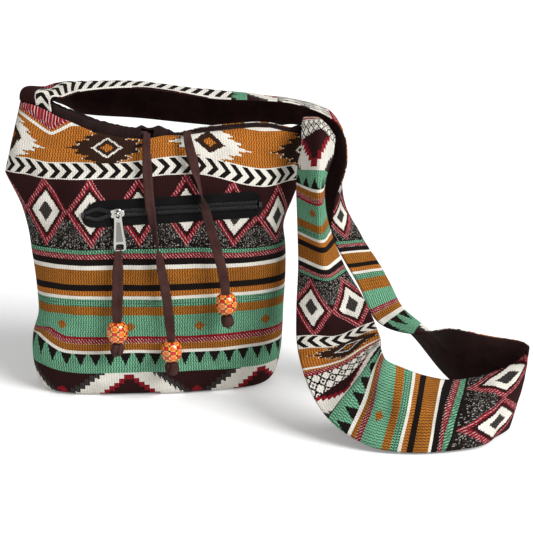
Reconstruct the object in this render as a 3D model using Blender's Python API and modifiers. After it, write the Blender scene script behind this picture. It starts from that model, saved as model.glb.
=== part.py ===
"""Drawstring sling bag of jacquard cloth, standing on its stuffed base with its strap laid out beside it.

Metres, +Z up. The origin is the middle of the base, on the floor. The wearer's side (back) is +Y.
"""

from math import cos, hypot, pi, radians, sin

import bmesh
import bpy
from mathutils import Matrix, Vector

# Cloth and seams
CLOTH = 0.0012
LINING = 0.0008
POUCH_CLOTH = 0.0005
CLEARANCE = 0.0003
SEAM_GAP = CLOTH + CLEARANCE
LINING_INSET = 0.0046
TIP_INSET_RATIO = 1.8

# Body of the bag: height, left and right edge, half depth and squareness of each section
SECTIONS = [
    (0.000, -0.116, 0.112, 0.040, 3.0),
    (0.0035, -0.125, 0.121, 0.047, 3.0),
    (0.013, -0.131, 0.128, 0.051, 2.9),
    (0.035, -0.135, 0.133, 0.054, 2.8),
    (0.060, -0.134, 0.135, 0.055, 2.7),
    (0.086, -0.127, 0.136, 0.054, 2.7),
    (0.120, -0.128, 0.138, 0.052, 2.7),
    (0.150, -0.131, 0.138, 0.051, 2.7),
    (0.178, -0.134, 0.136, 0.049, 2.7),
    (0.205, -0.141, 0.146, 0.046, 2.6),
    (0.238, -0.156, 0.159, 0.041, 2.5),
]
SEAM_SECTION = 1.0
PANEL_COLUMNS = 20
PANEL_ROWS = 17
BASE_ROWS = 5
TURN = 0.08

# Rim of the mouth: place across, height, half gap at the front and at the back
RIM = [
    (-0.137, 0.312, 0.024, 0.024),
    (-0.116, 0.308, 0.027, 0.026),
    (-0.096, 0.298, 0.031, 0.028),
    (-0.058, 0.284, 0.035, 0.026),
    (-0.010, 0.2757, 0.031, 0.022),
    (0.024, 0.2800, 0.019, 0.018),
    (0.080, 0.2860, 0.017, 0.018),
    (0.122, 0.2870, 0.019, 0.020),
    (0.150, 0.2770, 0.021, 0.022),
    (0.167, 0.2640, 0.021, 0.022),
]
RIM_SQUARENESS = 2.3

# Zip on the front: its line, its tapes and its chain
ZIP_MIDDLE = Vector((0.020, -0.0470, 0.2045))
ZIP_SLOPE_BACK = 0.10
ZIP_SLOPE_UP = 0.04
ZIP_LEFT = -0.073
ZIP_RIGHT = 0.113
ZIP_FLAT = 0.018
ZIP_FADE = 0.030
TAPE_HEIGHT = 0.0115
TAPE_THICK = 0.0008
COIL_WIDTH = 0.0022
COIL_THICK = 0.0014
CHAIN_GAP = 0.0012
STOP_LENGTH = 0.003
SLOT_HEIGHT = 0.004
SLOT_SHORTER = 0.012

# Slider and pull
SLIDER_X = -0.0357
SLIDER_LENGTH = 0.014
SLIDER_WIDTH = 0.0085
SLIDER_PLATE = 0.0014
SLIDER_LEG = 0.0006
BRIDGE_WIRE = 0.0007
BRIDGE_RADIUS = 0.0030
AXLE_HEIGHT = 0.0014
PULL_WIDTH = 0.0125
PULL_NECK = 0.0070
PULL_LENGTH = 0.040
PULL_THICK = 0.0016
PULL_BAR = 0.0014
PULL_EYE_WIDTH = 0.0034
PULL_EYE_HEIGHT = BRIDGE_RADIUS + BRIDGE_WIRE + 0.0006 - PULL_BAR / 2
PULL_SLOT_WIDTH = 0.0075
PULL_SLOT_HEIGHT = 0.0058

# Cords, beads and knots
CORD_RADIUS = 0.0022
CORD_STEP = 0.0125
RIBBON_RADIUS = 0.0024
CASING_RADIUS = 0.0042
CASING_WALL = 0.0009
CASING_INSET = 0.0065
MOUTH_COLUMNS = 36
LINING_ROWS = 12
EXIT_LEFT_X = -0.0053
EXIT_RIGHT_X = 0.0389
EXIT_LENGTH = 0.018
EXIT_HEIGHT = 0.0058
EXIT_TURN = 0.009
BEAD_RADIUS = 0.0112
BEAD_HEIGHT = 0.0210
BEAD_BORE = 0.0031
KNOT_RADIUS = 0.0072
KNOT_HEIGHT = 0.0150

LEFT_END = [
    (-0.0053, -0.0292, 0.2812),
    (-0.0052, -0.0370, 0.2802),
    (-0.0050, -0.0445, 0.2745),
    (-0.0046, -0.0500, 0.2640),
    (-0.0040, -0.0545, 0.2450),
    (-0.0020, -0.0585, 0.2150),
    (0.0030, -0.0605, 0.1800),
    (0.0090, -0.0625, 0.1450),
    (0.0145, -0.0660, 0.1120),
    (0.0172, -0.0690, 0.0850),
    (0.0182, -0.0705, 0.0650),
    (0.0188, -0.0715, 0.0474),
]
RIGHT_END = [
    (0.0389, -0.0140, 0.2872),
    (0.0392, -0.0250, 0.2860),
    (0.0398, -0.0340, 0.2790),
    (0.0415, -0.0400, 0.2690),
    (0.0450, -0.0470, 0.2500),
    (0.0520, -0.0530, 0.2180),
    (0.0600, -0.0570, 0.1880),
    (0.0680, -0.0600, 0.1600),
    (0.0735, -0.0625, 0.1360),
    (0.0757, -0.0640, 0.1150),
    (0.0767, -0.0648, 0.0972),
]
PULL_RIBBON = [
    (-0.0356, -0.0590, 0.1632),
    (-0.0358, -0.0606, 0.1560),
    (-0.0362, -0.0645, 0.1400),
    (-0.0366, -0.0680, 0.1200),
    (-0.0371, -0.0705, 0.1040),
    (-0.0375, -0.0717, 0.0860),
    (-0.0378, -0.0727, 0.0687),
]

# Inner pocket behind the zip
POUCH_DEPTH = 0.090
POUCH_FRONT_INSET = 0.0019
POUCH_BACK_INSET = 0.0031
POUCH_LEFT = -0.062
POUCH_RIGHT = 0.072

# Strap: each station has its crease, the ways from the crease to the two edges, and how far it is gathered
STRAP_HALF = 0.0425
STRAP_CREASE = 0.008
STRAP_ROW = 0.018
STRAP_CLOSER = 0.45
STRAP_COLUMNS = 4
STRAP_BLEND_LEFT = 0.036
STRAP_BLEND_RIGHT = 0.024
STRAP_GATHER_RIGHT = 0.40
STRAP_SEAM = 0.235
STRAP_GAP = 0.0009
STRAP_LIFT = 0.0012
STRAP = [
    ((-0.1370, -0.0110, 0.3120), (0.50, -0.85, 0.00), (0.50, 0.85, 0.00), 1.00),
    ((-0.1290, -0.0020, 0.3250), (0.62, -0.75, -0.10), (0.30, 0.88, -0.36), 1.00),
    ((-0.1080, 0.0140, 0.3315), (0.40, -0.85, -0.25), (0.10, 0.68, -0.72), 1.00),
    ((-0.0780, 0.0330, 0.3265), (0.10, -0.98, -0.15), (0.00, 0.30, -0.95), 1.00),
    ((-0.0256, 0.0480, 0.3210), (0.00, -1.00, -0.05), (0.00, 0.12, -0.99), 1.00),
    ((0.0184, 0.0520, 0.3160), (0.00, -1.00, -0.05), (0.00, 0.10, -0.99), 1.00),
    ((0.0641, 0.0530, 0.3110), (0.00, -0.98, -0.12), (0.00, 0.10, -0.99), 1.00),
    ((0.1100, 0.0560, 0.3050), (0.00, -1.00, -0.02), (-0.05, 0.15, -0.99), 0.95),
    ((0.1530, 0.0610, 0.2990), (-0.02, -0.98, -0.06), (-0.15, 0.20, -0.97), 0.70),
    ((0.1880, 0.0560, 0.2840), (-0.10, -0.78, -0.60), (-0.65, 0.45, -0.60), 0.70),
    ((0.2000, 0.0460, 0.2450), (-0.80, -0.58, -0.15), (-0.85, 0.50, -0.15), 0.90),
    ((0.2110, 0.0330, 0.2000), (-0.88, -0.46, 0.10), (-0.85, 0.52, 0.10), 1.00),
    ((0.2310, 0.0120, 0.1570), (-0.90, -0.42, 0.10), (-0.78, 0.62, -0.05), 1.00),
    ((0.2480, -0.0180, 0.1190), (-0.88, -0.47, 0.00), (-0.60, 0.76, -0.20), 1.00),
    ((0.2600, -0.0440, 0.0980), (-0.72, -0.66, -0.20), (-0.36, 0.80, -0.40), 1.00),
    ((0.2800, -0.0640, 0.0850), (-0.28, -0.95, 0.02), (-0.10, 0.70, -0.60), 1.00),
    ((0.3080, -0.0780, 0.0640), (-0.05, -0.70, 0.70), (0.00, 0.42, -0.84), 1.00),
    ((0.3430, -0.0920, 0.0470), (0.00, -0.36, 0.93), (0.00, 0.12, -0.99), 1.00),
    ((0.3680, -0.1120, 0.0430), (0.18, -0.12, 0.97), (-0.10, -0.02, -0.99), 1.00),
    ((0.3740, -0.1380, 0.0425), (0.14, 0.08, 0.98), (-0.26, -0.08, -0.96), 1.00),
    ((0.3600, -0.1610, 0.0415), (0.26, 0.42, 0.86), (-0.36, -0.22, -0.90), 1.00),
    ((0.3340, -0.1780, 0.0412), (0.10, 0.66, 0.74), (-0.14, -0.30, -0.94), 1.00),
    ((0.3000, -0.1900, 0.0412), (0.00, 0.66, 0.75), (0.00, -0.26, -0.96), 1.00),
    ((0.2640, -0.1950, 0.0416), (0.00, 0.56, 0.83), (-0.06, -0.28, -0.96), 1.00),
    ((0.2320, -0.1900, 0.0445), (0.10, 0.42, 0.90), (-0.34, -0.28, -0.90), 1.00),
    ((0.2060, -0.1720, 0.0580), (0.56, 0.20, 0.80), (-0.72, -0.16, -0.67), 1.00),
    ((0.1920, -0.1440, 0.0820), (0.88, 0.10, 0.45), (-0.96, 0.18, -0.22), 1.00),
    ((0.1840, -0.1100, 0.1080), (0.86, 0.46, 0.20), (-0.82, 0.57, 0.05), 1.00),
    ((0.1790, -0.0800, 0.1420), (0.58, 0.80, 0.05), (-0.66, 0.74, 0.10), 1.00),
    ((0.1735, -0.0640, 0.1850), (0.34, 0.93, 0.05), (-0.56, 0.82, 0.05), 1.00),
    ((0.1710, -0.0640, 0.2250), (0.30, 0.95, 0.00), (-0.54, 0.84, 0.05), 1.00),
    ((0.1720, -0.0620, 0.2600), (0.40, 0.80, -0.40), (-0.60, 0.75, -0.25), 0.85),
    ((0.1735, -0.0480, 0.2870), (0.45, 0.45, -0.77), (-0.70, 0.35, -0.62), 0.65),
    ((0.1745, -0.0260, 0.3000), (0.60, 0.10, -0.79), (-0.90, 0.10, -0.25), 0.50),
    ((0.1725, -0.0050, 0.2980), (0.15, -0.80, -0.55), (-0.80, 0.45, -0.05), 0.43),
    ((0.1695, 0.0095, 0.2830), (-0.45, -0.88, -0.05), (-0.50, 0.85, 0.00), 0.40),
    ((0.1680, 0.0130, 0.2650), (-0.50, -0.85, 0.00), (-0.50, 0.85, 0.00), 0.40),
]


def clear_scene():
    for item in list(bpy.data.objects):
        bpy.data.objects.remove(item, do_unlink=True)


def collection(name):
    made = bpy.data.collections.new(name)
    bpy.context.scene.collection.children.link(made)
    return made


def material(name, colour, roughness, metallic=0.0):
    made = bpy.data.materials.new(name)
    made.use_nodes = True
    shader = made.node_tree.nodes["Principled BSDF"]
    shader.inputs["Base Color"].default_value = (*colour, 1.0)
    shader.inputs["Roughness"].default_value = roughness
    shader.inputs["Metallic"].default_value = metallic
    made.diffuse_color = (*colour, 1.0)
    return made


def smooth(values, place):
    """Read a smooth curve through a list of equal tuples at a place counted in list items."""
    last = len(values) - 1
    place = min(max(place, 0.0), float(last))
    start = min(int(place), last - 1)
    part = place - start
    before = values[max(start - 1, 0)]
    low = values[start]
    high = values[start + 1]
    after = values[min(start + 2, last)]
    out = []
    for a, b, c, d in zip(before, low, high, after):
        slope_in = 0.5 * (c - a)
        slope_out = 0.5 * (d - b)
        cube = 2 * (b - c) + slope_in + slope_out
        square = 3 * (c - b) - 2 * slope_in - slope_out
        out.append(((cube * part + square) * part + slope_in) * part + b)
    return out


def ease(part):
    part = min(max(part, 0.0), 1.0)
    return part * part * (3 - 2 * part)


def power(value, square):
    return abs(value) ** (2 / square) * (1 if value >= 0 else -1)


def rim_at(across):
    """Height and half gaps of the mouth's rim at a place across the bag."""
    for index in range(len(RIM) - 1):
        if across <= RIM[index + 1][0] or index == len(RIM) - 2:
            span = RIM[index + 1][0] - RIM[index][0]
            return smooth(RIM, index + (across - RIM[index][0]) / span)[1:]


def zip_line(x):
    """Depth and height of the zip's line at a place across the bag."""
    along = x - ZIP_MIDDLE.x
    return ZIP_MIDDLE.y + ZIP_SLOPE_BACK * along, ZIP_MIDDLE.z + ZIP_SLOPE_UP * along


def zip_share(x, z):
    """One where the zip holds the front wall straight, and nought away from it."""
    beside = max(ZIP_LEFT - x, x - ZIP_RIGHT, 0.0)
    above = max(abs(z - zip_line(x)[1]) - ZIP_FLAT, 0.0)
    return (1 - ease(beside / ZIP_FADE)) * (1 - ease(above / ZIP_FADE))


def spread(part):
    """The angle at a share of a full turn, with the places closer at the seams and the middles."""
    turn = 2 * pi * part
    return turn - sin(4 * turn) / 8


def body_point(angle, level, inset=0.0):
    """A point of the bag's wall. Level counts SECTIONS from the base, and one more reaches the rim."""
    top = len(SECTIONS) - 1
    side = inset * TIP_INSET_RATIO
    height, left, right, depth, square = smooth(SECTIONS, min(level, top))
    left += side
    right -= side
    across = power(cos(angle), square)
    x = (left + right) / 2 + (right - left) / 2 * across
    y = (depth - inset) * power(sin(angle), square)
    z = height + inset * max(0.0, 1 - height / 0.03)
    if level > top:
        rise = level - top
        rim_left = RIM[0][0] + side
        rim_right = RIM[-1][0] - side
        rim_x = (rim_left + rim_right) / 2 + (rim_right - rim_left) / 2 * across
        rim_z, gap_front, gap_back = rim_at(rim_x)
        gap = gap_back if sin(angle) >= 0 else gap_front
        rim_y = (gap - inset) * power(sin(angle), RIM_SQUARENESS)
        lean = rise**1.4
        x += (rim_x - x) * rise
        y += (rim_y - y) * lean
        z += (rim_z - z) * rise
    y += TURN * x
    if sin(angle) < 0:
        y += (zip_line(x)[0] + inset - y) * zip_share(x, z)
    return Vector((x, y, z + CLOTH / 2))


def grid_faces(bm, rows, closed=False):
    """Faces between rows of vertices. Rows are listed upward and each row runs to the right as seen."""
    for low, high in zip(rows, rows[1:]):
        count = len(low)
        for index in range(count if closed else count - 1):
            after = (index + 1) % count
            ring = (low[index], low[after], high[after], high[index])
            bm.faces.new(ring)


def shift_along_normals(bm, distance):
    bm.normal_update()
    moves = [vert.normal * distance for vert in bm.verts]
    for vert, move in zip(bm.verts, moves):
        vert.co += move


def finish_mesh(name, bm, where, look, shift=0.0):
    bmesh.ops.remove_doubles(bm, verts=bm.verts, dist=0.0002)
    if shift:
        shift_along_normals(bm, shift)
    mesh = bpy.data.meshes.new(name)
    bm.to_mesh(mesh)
    bm.free()
    mesh.shade_smooth()
    mesh.materials.append(look)
    item = bpy.data.objects.new(name, mesh)
    where.objects.link(item)
    return item


def thicken(item, thickness):
    wall = item.modifiers.new("Wall", "SOLIDIFY")
    wall.thickness = thickness
    wall.offset = 0.0
    return item


def front_panel(where, look):
    """The front of the bag and its whole base, cut as one piece of cloth."""
    bm = bmesh.new()
    angles = [spread(0.5 + 0.5 * index / PANEL_COLUMNS) for index in range(PANEL_COLUMNS + 1)]
    top = len(SECTIONS)
    rows = []
    for index in range(PANEL_ROWS + 1):
        level = top * (1 - index / PANEL_ROWS)
        row = []
        for angle in angles:
            point = body_point(angle, level)
            point.y -= SEAM_GAP / 2 * edge_share(angle)
            row.append(bm.verts.new(point))
        rows.append(row)
    for index in range(1, BASE_ROWS + 1):
        part = index / BASE_ROWS
        row = []
        for angle in angles:
            near = body_point(angle, 0.0)
            near.y -= SEAM_GAP / 2 * edge_share(angle)
            far = body_point(2 * pi - angle, 0.0)
            far.y -= SEAM_GAP / 2 * edge_share(angle)
            row.append(bm.verts.new(near.lerp(far, part)))
        rows.append(row)
    seam = []
    for angle in angles:
        point = body_point(2 * pi - angle, SEAM_SECTION)
        point.y -= SEAM_GAP / 2 * edge_share(angle)
        seam.append(bm.verts.new(point))
    rows.append(seam)
    rows.reverse()
    grid_faces(bm, rows)
    item = finish_mesh("front_panel", bm, where, look)
    return thicken(item, CLOTH)


def edge_share(angle):
    """One at a side seam and nought away from it."""
    return 1 - ease(abs(sin(angle)) / 0.15)


def back_panel(where, look):
    bm = bmesh.new()
    angles = [spread(0.5 * index / PANEL_COLUMNS) for index in range(PANEL_COLUMNS + 1)]
    top = len(SECTIONS)
    first = body_point(pi / 2, SEAM_SECTION)
    rise = (body_point(pi / 2, SEAM_SECTION + 0.1) - first).length / 0.1
    start = SEAM_SECTION + SEAM_GAP / rise
    rows = []
    for index in range(PANEL_ROWS + 1):
        level = start + (top - start) * index / PANEL_ROWS
        row = []
        for angle in angles:
            point = body_point(angle, level)
            point.y += SEAM_GAP / 2 * edge_share(angle)
            row.append(bm.verts.new(point))
        rows.append(row)
    grid_faces(bm, rows)
    item = finish_mesh("back_panel", bm, where, look)
    return thicken(item, CLOTH)


def body_lining(where, look):
    bm = bmesh.new()
    angles = [spread(index / MOUTH_COLUMNS) for index in range(MOUTH_COLUMNS)]
    top = len(SECTIONS)
    rows = []
    middle = Vector((0.0, 0.0, LINING_INSET + CLOTH / 2))
    centre = bm.verts.new(middle)
    for part in (0.4, 0.75):
        row = []
        for angle in angles:
            edge = body_point(angle, 0.0, LINING_INSET)
            row.append(bm.verts.new(middle.lerp(edge, part)))
        rows.append(row)
    for index in range(LINING_ROWS + 1):
        level = top * index / LINING_ROWS
        rows.append([bm.verts.new(body_point(angle, level, LINING_INSET)) for angle in angles])
    grid_faces(bm, rows, closed=True)
    for index in range(MOUTH_COLUMNS):
        after = (index + 1) % MOUTH_COLUMNS
        bm.faces.new((centre, rows[0][after], rows[0][index]))
    item = finish_mesh("body_lining", bm, where, look)
    return thicken(item, LINING)


def wall_place(x, z, inset=0.0):
    """The point of the front wall at a place across and a height."""
    level_low, level_high = 0.0, float(len(SECTIONS))
    for _ in range(24):
        level = (level_low + level_high) / 2
        angle_low, angle_high = pi, 2 * pi
        for _ in range(24):
            angle = (angle_low + angle_high) / 2
            if body_point(angle, level, inset).x < x:
                angle_low = angle
            else:
                angle_high = angle
        if body_point(angle, level, inset).z < z:
            level_low = level
        else:
            level_high = level
    return body_point(angle, level, inset)


def pocket_pouch(where, look):
    """A flat pocket of thin cloth behind the zip, open towards it along its top."""
    bm = bmesh.new()
    columns = 12
    steps = 6
    rows = []
    for index in range(steps + 1):
        row = []
        for inset, order in ((POUCH_FRONT_INSET, 1), (POUCH_BACK_INSET, -1)):
            places = range(columns + 1)
            for step in places if order > 0 else reversed(places):
                x = POUCH_LEFT + (POUCH_RIGHT - POUCH_LEFT) * step / columns
                z = zip_line(x)[1] - TAPE_HEIGHT - POUCH_DEPTH * (1 - index / steps)
                row.append(bm.verts.new(wall_place(x, z, inset)))
        rows.append(row)
    grid_faces(bm, rows, closed=True)
    bottom = rows[0]
    count = len(bottom)
    for step in range(columns):
        bm.faces.new((bottom[step + 1], bottom[step], bottom[count - 1 - step], bottom[count - 2 - step]))
    item = finish_mesh("pocket_pouch", bm, where, look)
    return thicken(item, POUCH_CLOTH)


def zip_frame(x, up=0.0, out=0.0):
    """A point beside the zip's line, up the wall and out from the cloth's outer face."""
    along = x - ZIP_MIDDLE.x
    line = ZIP_MIDDLE + Vector((along, ZIP_SLOPE_BACK * along, ZIP_SLOPE_UP * along))
    line.z += CLOTH / 2
    return line + Vector((0, 0, up)) + zip_out() * (CLOTH / 2 + out)


def zip_along():
    return Vector((1, ZIP_SLOPE_BACK, ZIP_SLOPE_UP)).normalized()


def zip_out():
    return zip_along().cross(Vector((0, 0, 1))).normalized()


def zip_strip(name, left, right, low, high, inner, outer, where, look, steps=1):
    """A straight strip on the zip's flat, between two heights and two distances out."""
    bm = bmesh.new()
    rings = []
    for index in range(steps + 1):
        x = left + (right - left) * index / steps
        corners = [(low, inner), (low, outer), (high, outer), (high, inner)]
        rings.append([bm.verts.new(zip_frame(x, up, out)) for up, out in corners])
    for low_ring, high_ring in zip(rings, rings[1:]):
        for index in range(4):
            after = (index + 1) % 4
            bm.faces.new((low_ring[index], low_ring[after], high_ring[after], high_ring[index]))
    bm.faces.new(list(reversed(rings[0])))
    bm.faces.new(rings[-1])
    bmesh.ops.recalc_face_normals(bm, faces=bm.faces)
    return finish_mesh(name, bm, where, look)


def zip_set(where, looks):
    half = CHAIN_GAP / 2
    tape_in = CLEARANCE
    tape_out = tape_in + TAPE_THICK
    coil_in = tape_out + CLEARANCE
    coil_out = coil_in + COIL_THICK
    edge = half + CLEARANCE
    for name, sign in (("upper", 1), ("lower", -1)):
        low, high = sorted((sign * edge, sign * (edge + TAPE_HEIGHT)))
        zip_strip(f"zip_tape_{name}", ZIP_LEFT, ZIP_RIGHT, low, high, tape_in, tape_out, where, looks["tape"], 8)
        low, high = sorted((sign * half, sign * (half + COIL_WIDTH)))
        left = ZIP_LEFT + STOP_LENGTH + CLEARANCE
        right = ZIP_RIGHT - STOP_LENGTH - CLEARANCE
        zip_strip(f"zip_chain_{name}", left, right, low, high, coil_in, coil_out, where, looks["chain"], 8)
    reach = half + COIL_WIDTH
    for name, left in (("left", ZIP_LEFT), ("right", ZIP_RIGHT - STOP_LENGTH)):
        right = left + STOP_LENGTH
        zip_strip(f"zip_stop_{name}", left, right, -reach, reach, coil_in, coil_out, where, looks["chain"])


def cut(item, cutter, where, operation="DIFFERENCE"):
    where.objects.link(cutter)
    cutter.hide_render = True
    cutter.display_type = "WIRE"
    tool = item.modifiers.new("Cut", "BOOLEAN")
    tool.operation = operation
    tool.object = cutter
    tool.solver = "EXACT"


def block(name, size, at, along=None):
    """A box mesh object with its first side along a direction, not yet in any collection."""
    bm = bmesh.new()
    bmesh.ops.create_cube(bm, size=1.0)
    bmesh.ops.scale(bm, vec=size, verts=bm.verts)
    if along is not None:
        side = along.cross(Vector((0, 0, 1))).normalized()
        up = side.cross(along)
        turn = Matrix((along, -side, up)).transposed()
        bmesh.ops.transform(bm, matrix=turn.to_4x4(), verts=bm.verts)
    bmesh.ops.translate(bm, vec=at, verts=bm.verts)
    mesh = bpy.data.meshes.new(name)
    bm.to_mesh(mesh)
    bm.free()
    return bpy.data.objects.new(name, mesh)


def cut_zip_slot(panel, cutters):
    length = ZIP_RIGHT - ZIP_LEFT - 2 * SLOT_SHORTER
    middle = zip_frame((ZIP_LEFT + ZIP_RIGHT) / 2)
    cut(panel, block("zip_slot_cutter", (length, 4 * CLOTH, SLOT_HEIGHT), middle, zip_along()), cutters)


def chain_face():
    """How far the chain's outer face stands out from the cloth."""
    return CLEARANCE + TAPE_THICK + CLEARANCE + COIL_THICK


def zip_slider(where, look):
    """Plate, guide leg and bridge of the slider, joined as one casting."""
    plate_in = chain_face() + CLEARANCE
    plate_middle = plate_in + SLIDER_PLATE / 2
    size = (SLIDER_LENGTH, SLIDER_PLATE, SLIDER_WIDTH)
    body = block("zip_slider", size, zip_frame(SLIDER_X, 0, plate_middle), zip_along())
    body.data.materials.append(look)
    where.objects.link(body)
    leg_in = CLEARANCE + TAPE_THICK
    leg_out = plate_in + SLIDER_PLATE / 2
    leg_size = (SLIDER_LENGTH / 3, leg_out - leg_in, SLIDER_LEG)
    leg = block("slider_leg", leg_size, zip_frame(SLIDER_X, 0, (leg_in + leg_out) / 2), zip_along())
    return body, leg, plate_in + SLIDER_PLATE


def bridge(plate_out):
    """The arch that carries the pull, as a closed mesh standing across the plate."""
    foot = (SLIDER_PLATE / 2 + AXLE_HEIGHT) / BRIDGE_RADIUS
    turns = [radians(15 * step) for step in range(13)]
    route = [(cos(turn), sin(turn)) for turn in turns]
    route = [(1, -foot)] + route + [(-1, -foot)]
    axle = zip_frame(SLIDER_X, 0, plate_out + AXLE_HEIGHT)
    out = zip_out()
    up = out.cross(zip_along())
    points = [axle + (up * rise + out * reach) * BRIDGE_RADIUS for rise, reach in route]
    return tube("slider_bridge", points, BRIDGE_WIRE, 2)


def tube(name, points, radius, resolution, closed=False):
    """A round tube along points, as a closed mesh object not yet in any collection."""
    curve = bpy.data.curves.new(name, "CURVE")
    curve.dimensions = "3D"
    curve.bevel_depth = radius
    curve.bevel_resolution = resolution
    curve.use_fill_caps = not closed
    spline = curve.splines.new("POLY")
    spline.points.add(len(points) - 1)
    for slot, point in zip(spline.points, points):
        slot.co = (*point, 1.0)
    spline.use_cyclic_u = closed
    guide = bpy.data.objects.new(name, curve)
    bpy.context.scene.collection.objects.link(guide)
    bpy.context.view_layer.update()
    evaluated = guide.evaluated_get(bpy.context.evaluated_depsgraph_get())
    mesh = bpy.data.meshes.new_from_object(evaluated)
    bpy.data.objects.remove(guide, do_unlink=True)
    bm = bmesh.new()
    bm.from_mesh(mesh)
    bmesh.ops.remove_doubles(bm, verts=bm.verts, dist=0.00001)
    bmesh.ops.recalc_face_normals(bm, faces=bm.faces)
    if bm.calc_volume(signed=True) < 0:
        bmesh.ops.reverse_faces(bm, faces=bm.faces)
    bm.to_mesh(mesh)
    bm.free()
    mesh.name = name
    mesh.shade_smooth()
    return bpy.data.objects.new(name, mesh)


def even_route(points, step):
    """Points a step apart on a smooth curve through chosen points."""
    fine = [Vector(smooth(points, index / 24)) for index in range(24 * (len(points) - 1) + 1)]
    lengths = [0.0]
    for low, high in zip(fine, fine[1:]):
        lengths.append(lengths[-1] + (high - low).length)
    count = max(2, round(lengths[-1] / step))
    out = []
    index = 0
    for number in range(count + 1):
        want = lengths[-1] * number / count
        while index < len(fine) - 2 and lengths[index + 1] < want:
            index += 1
        part = (want - lengths[index]) / (lengths[index + 1] - lengths[index])
        out.append(fine[index].lerp(fine[index + 1], min(max(part, 0.0), 1.0)))
    return out


def casing_point(angle):
    point = body_point(angle, len(SECTIONS), CASING_INSET)
    point.z += 4 * CLEARANCE + CASING_RADIUS
    return point


def casing_angle(x):
    """The place round the front of the mouth that lies at x."""
    low, high = pi, 2 * pi
    for _ in range(40):
        middle = (low + high) / 2
        if casing_point(middle).x < x:
            low = middle
        else:
            high = middle
    return low


def casing_turns():
    """Angles that set points an even way apart round the casing."""
    fine = [2 * pi * index / 720 for index in range(721)]
    lengths = [0.0]
    for low, high in zip(fine, fine[1:]):
        lengths.append(lengths[-1] + (casing_point(high) - casing_point(low)).length)
    turns = []
    for number in range(MOUTH_COLUMNS):
        want = lengths[-1] * number / MOUTH_COLUMNS
        turns.append(next(angle for angle, length in zip(fine, lengths) if length >= want))
    return turns


def mouth_casing(where, cutters, look):
    """The hem tunnel round the mouth, with the two holes that let the drawstring out."""
    ring = [casing_point(angle) for angle in casing_turns()]
    casing = tube("mouth_casing", ring, CASING_RADIUS, 2, closed=True)
    casing.data.materials.append(look)
    where.objects.link(casing)
    cut(casing, tube("casing_bore", ring, CASING_RADIUS - CASING_WALL, 2, closed=True), cutters)
    for name, x in (("left", EXIT_LEFT_X), ("right", EXIT_RIGHT_X)):
        at = casing_point(casing_angle(x))
        size = (EXIT_LENGTH, 2 * CASING_RADIUS, EXIT_HEIGHT)
        shift = Vector((0, -CASING_RADIUS, 0))
        cut(casing, block(f"exit_{name}_cutter", size, at + shift), cutters)
    return casing


def drawstring(where, look):
    """One cord: down the left end, round inside the hem, and down the right end."""
    start = casing_angle(EXIT_LEFT_X - EXIT_TURN)
    stop = casing_angle(EXIT_RIGHT_X + EXIT_TURN) - 2 * pi
    turns = [angle + shift for shift in (0, -2 * pi) for angle in reversed(casing_turns())]
    near = 0.05
    between = [angle for angle in turns if stop + near < angle < start - near]
    inner = [casing_point(angle) for angle in [start, *between, stop]]
    left = even_route(LEFT_END, CORD_STEP)
    right = even_route(RIGHT_END, CORD_STEP)
    route = list(reversed(left)) + inner + right
    cord = tube("drawstring", route, CORD_RADIUS, 2)
    cord.data.materials.append(look)
    where.objects.link(cord)


def turned(name, profile, at, axis, where, look, segments=20):
    """A turned piece: radius and height pairs, from the bottom up, spun round an axis."""
    bm = bmesh.new()
    ring = [bm.verts.new((radius, 0, height)) for radius, height in profile]
    edges = [bm.edges.new(pair) for pair in zip(ring, ring[1:] + ring[:1])]
    bmesh.ops.spin(
        bm,
        geom=ring + edges,
        cent=(0, 0, 0),
        axis=(0, 0, 1),
        angle=2 * pi,
        steps=segments,
        use_merge=True,
    )
    bmesh.ops.remove_doubles(bm, verts=bm.verts, dist=0.00001)
    bmesh.ops.recalc_face_normals(bm, faces=bm.faces)
    turn = Vector((0, 0, 1)).rotation_difference(axis).to_matrix().to_4x4()
    mesh = bpy.data.meshes.new(name)
    bm.to_mesh(mesh)
    bm.free()
    mesh.shade_smooth()
    mesh.set_sharp_from_angle(angle=radians(50))
    mesh.materials.append(look)
    item = bpy.data.objects.new(name, mesh)
    item.matrix_world = Matrix.Translation(at) @ turn
    where.objects.link(item)
    return item


def bead(name, at, axis, where, look):
    """A turned wooden bead with rounded shoulders and a bore for the cord."""
    half = BEAD_HEIGHT / 2
    profile = [(BEAD_BORE, -half)]
    for step in range(7):
        angle = radians(-60 + 20 * step)
        flat = 0.5 * BEAD_RADIUS + 0.5 * BEAD_RADIUS * cos(angle)
        profile.append((flat, half * sin(angle) / sin(radians(66))))
    profile.append((BEAD_BORE, half))
    turned(name, profile, at, axis, where, look)


def knot(name, top, axis, where, look):
    """A tied lump of cord below a bead, as a soft lobed solid."""
    bm = bmesh.new()
    bmesh.ops.create_uvsphere(bm, u_segments=12, v_segments=8, radius=1.0)
    for vert in bm.verts:
        lobe = 1 + 0.10 * sin(3 * vert.co.z + 2 * vert.co.x) * sin(4 * vert.co.y)
        vert.co *= lobe
    bmesh.ops.scale(bm, vec=(KNOT_RADIUS, KNOT_RADIUS * 0.85, KNOT_HEIGHT / 2), verts=bm.verts)
    high = max(vert.co.z for vert in bm.verts)
    bmesh.ops.translate(bm, vec=(0, 0, -high - CLEARANCE), verts=bm.verts)
    turn = Vector((0, 0, 1)).rotation_difference(axis).to_matrix().to_4x4()
    mesh = bpy.data.meshes.new(name)
    bm.to_mesh(mesh)
    bm.free()
    mesh.shade_smooth()
    mesh.materials.append(look)
    item = bpy.data.objects.new(name, mesh)
    item.matrix_world = Matrix.Translation(top) @ turn
    where.objects.link(item)


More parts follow.
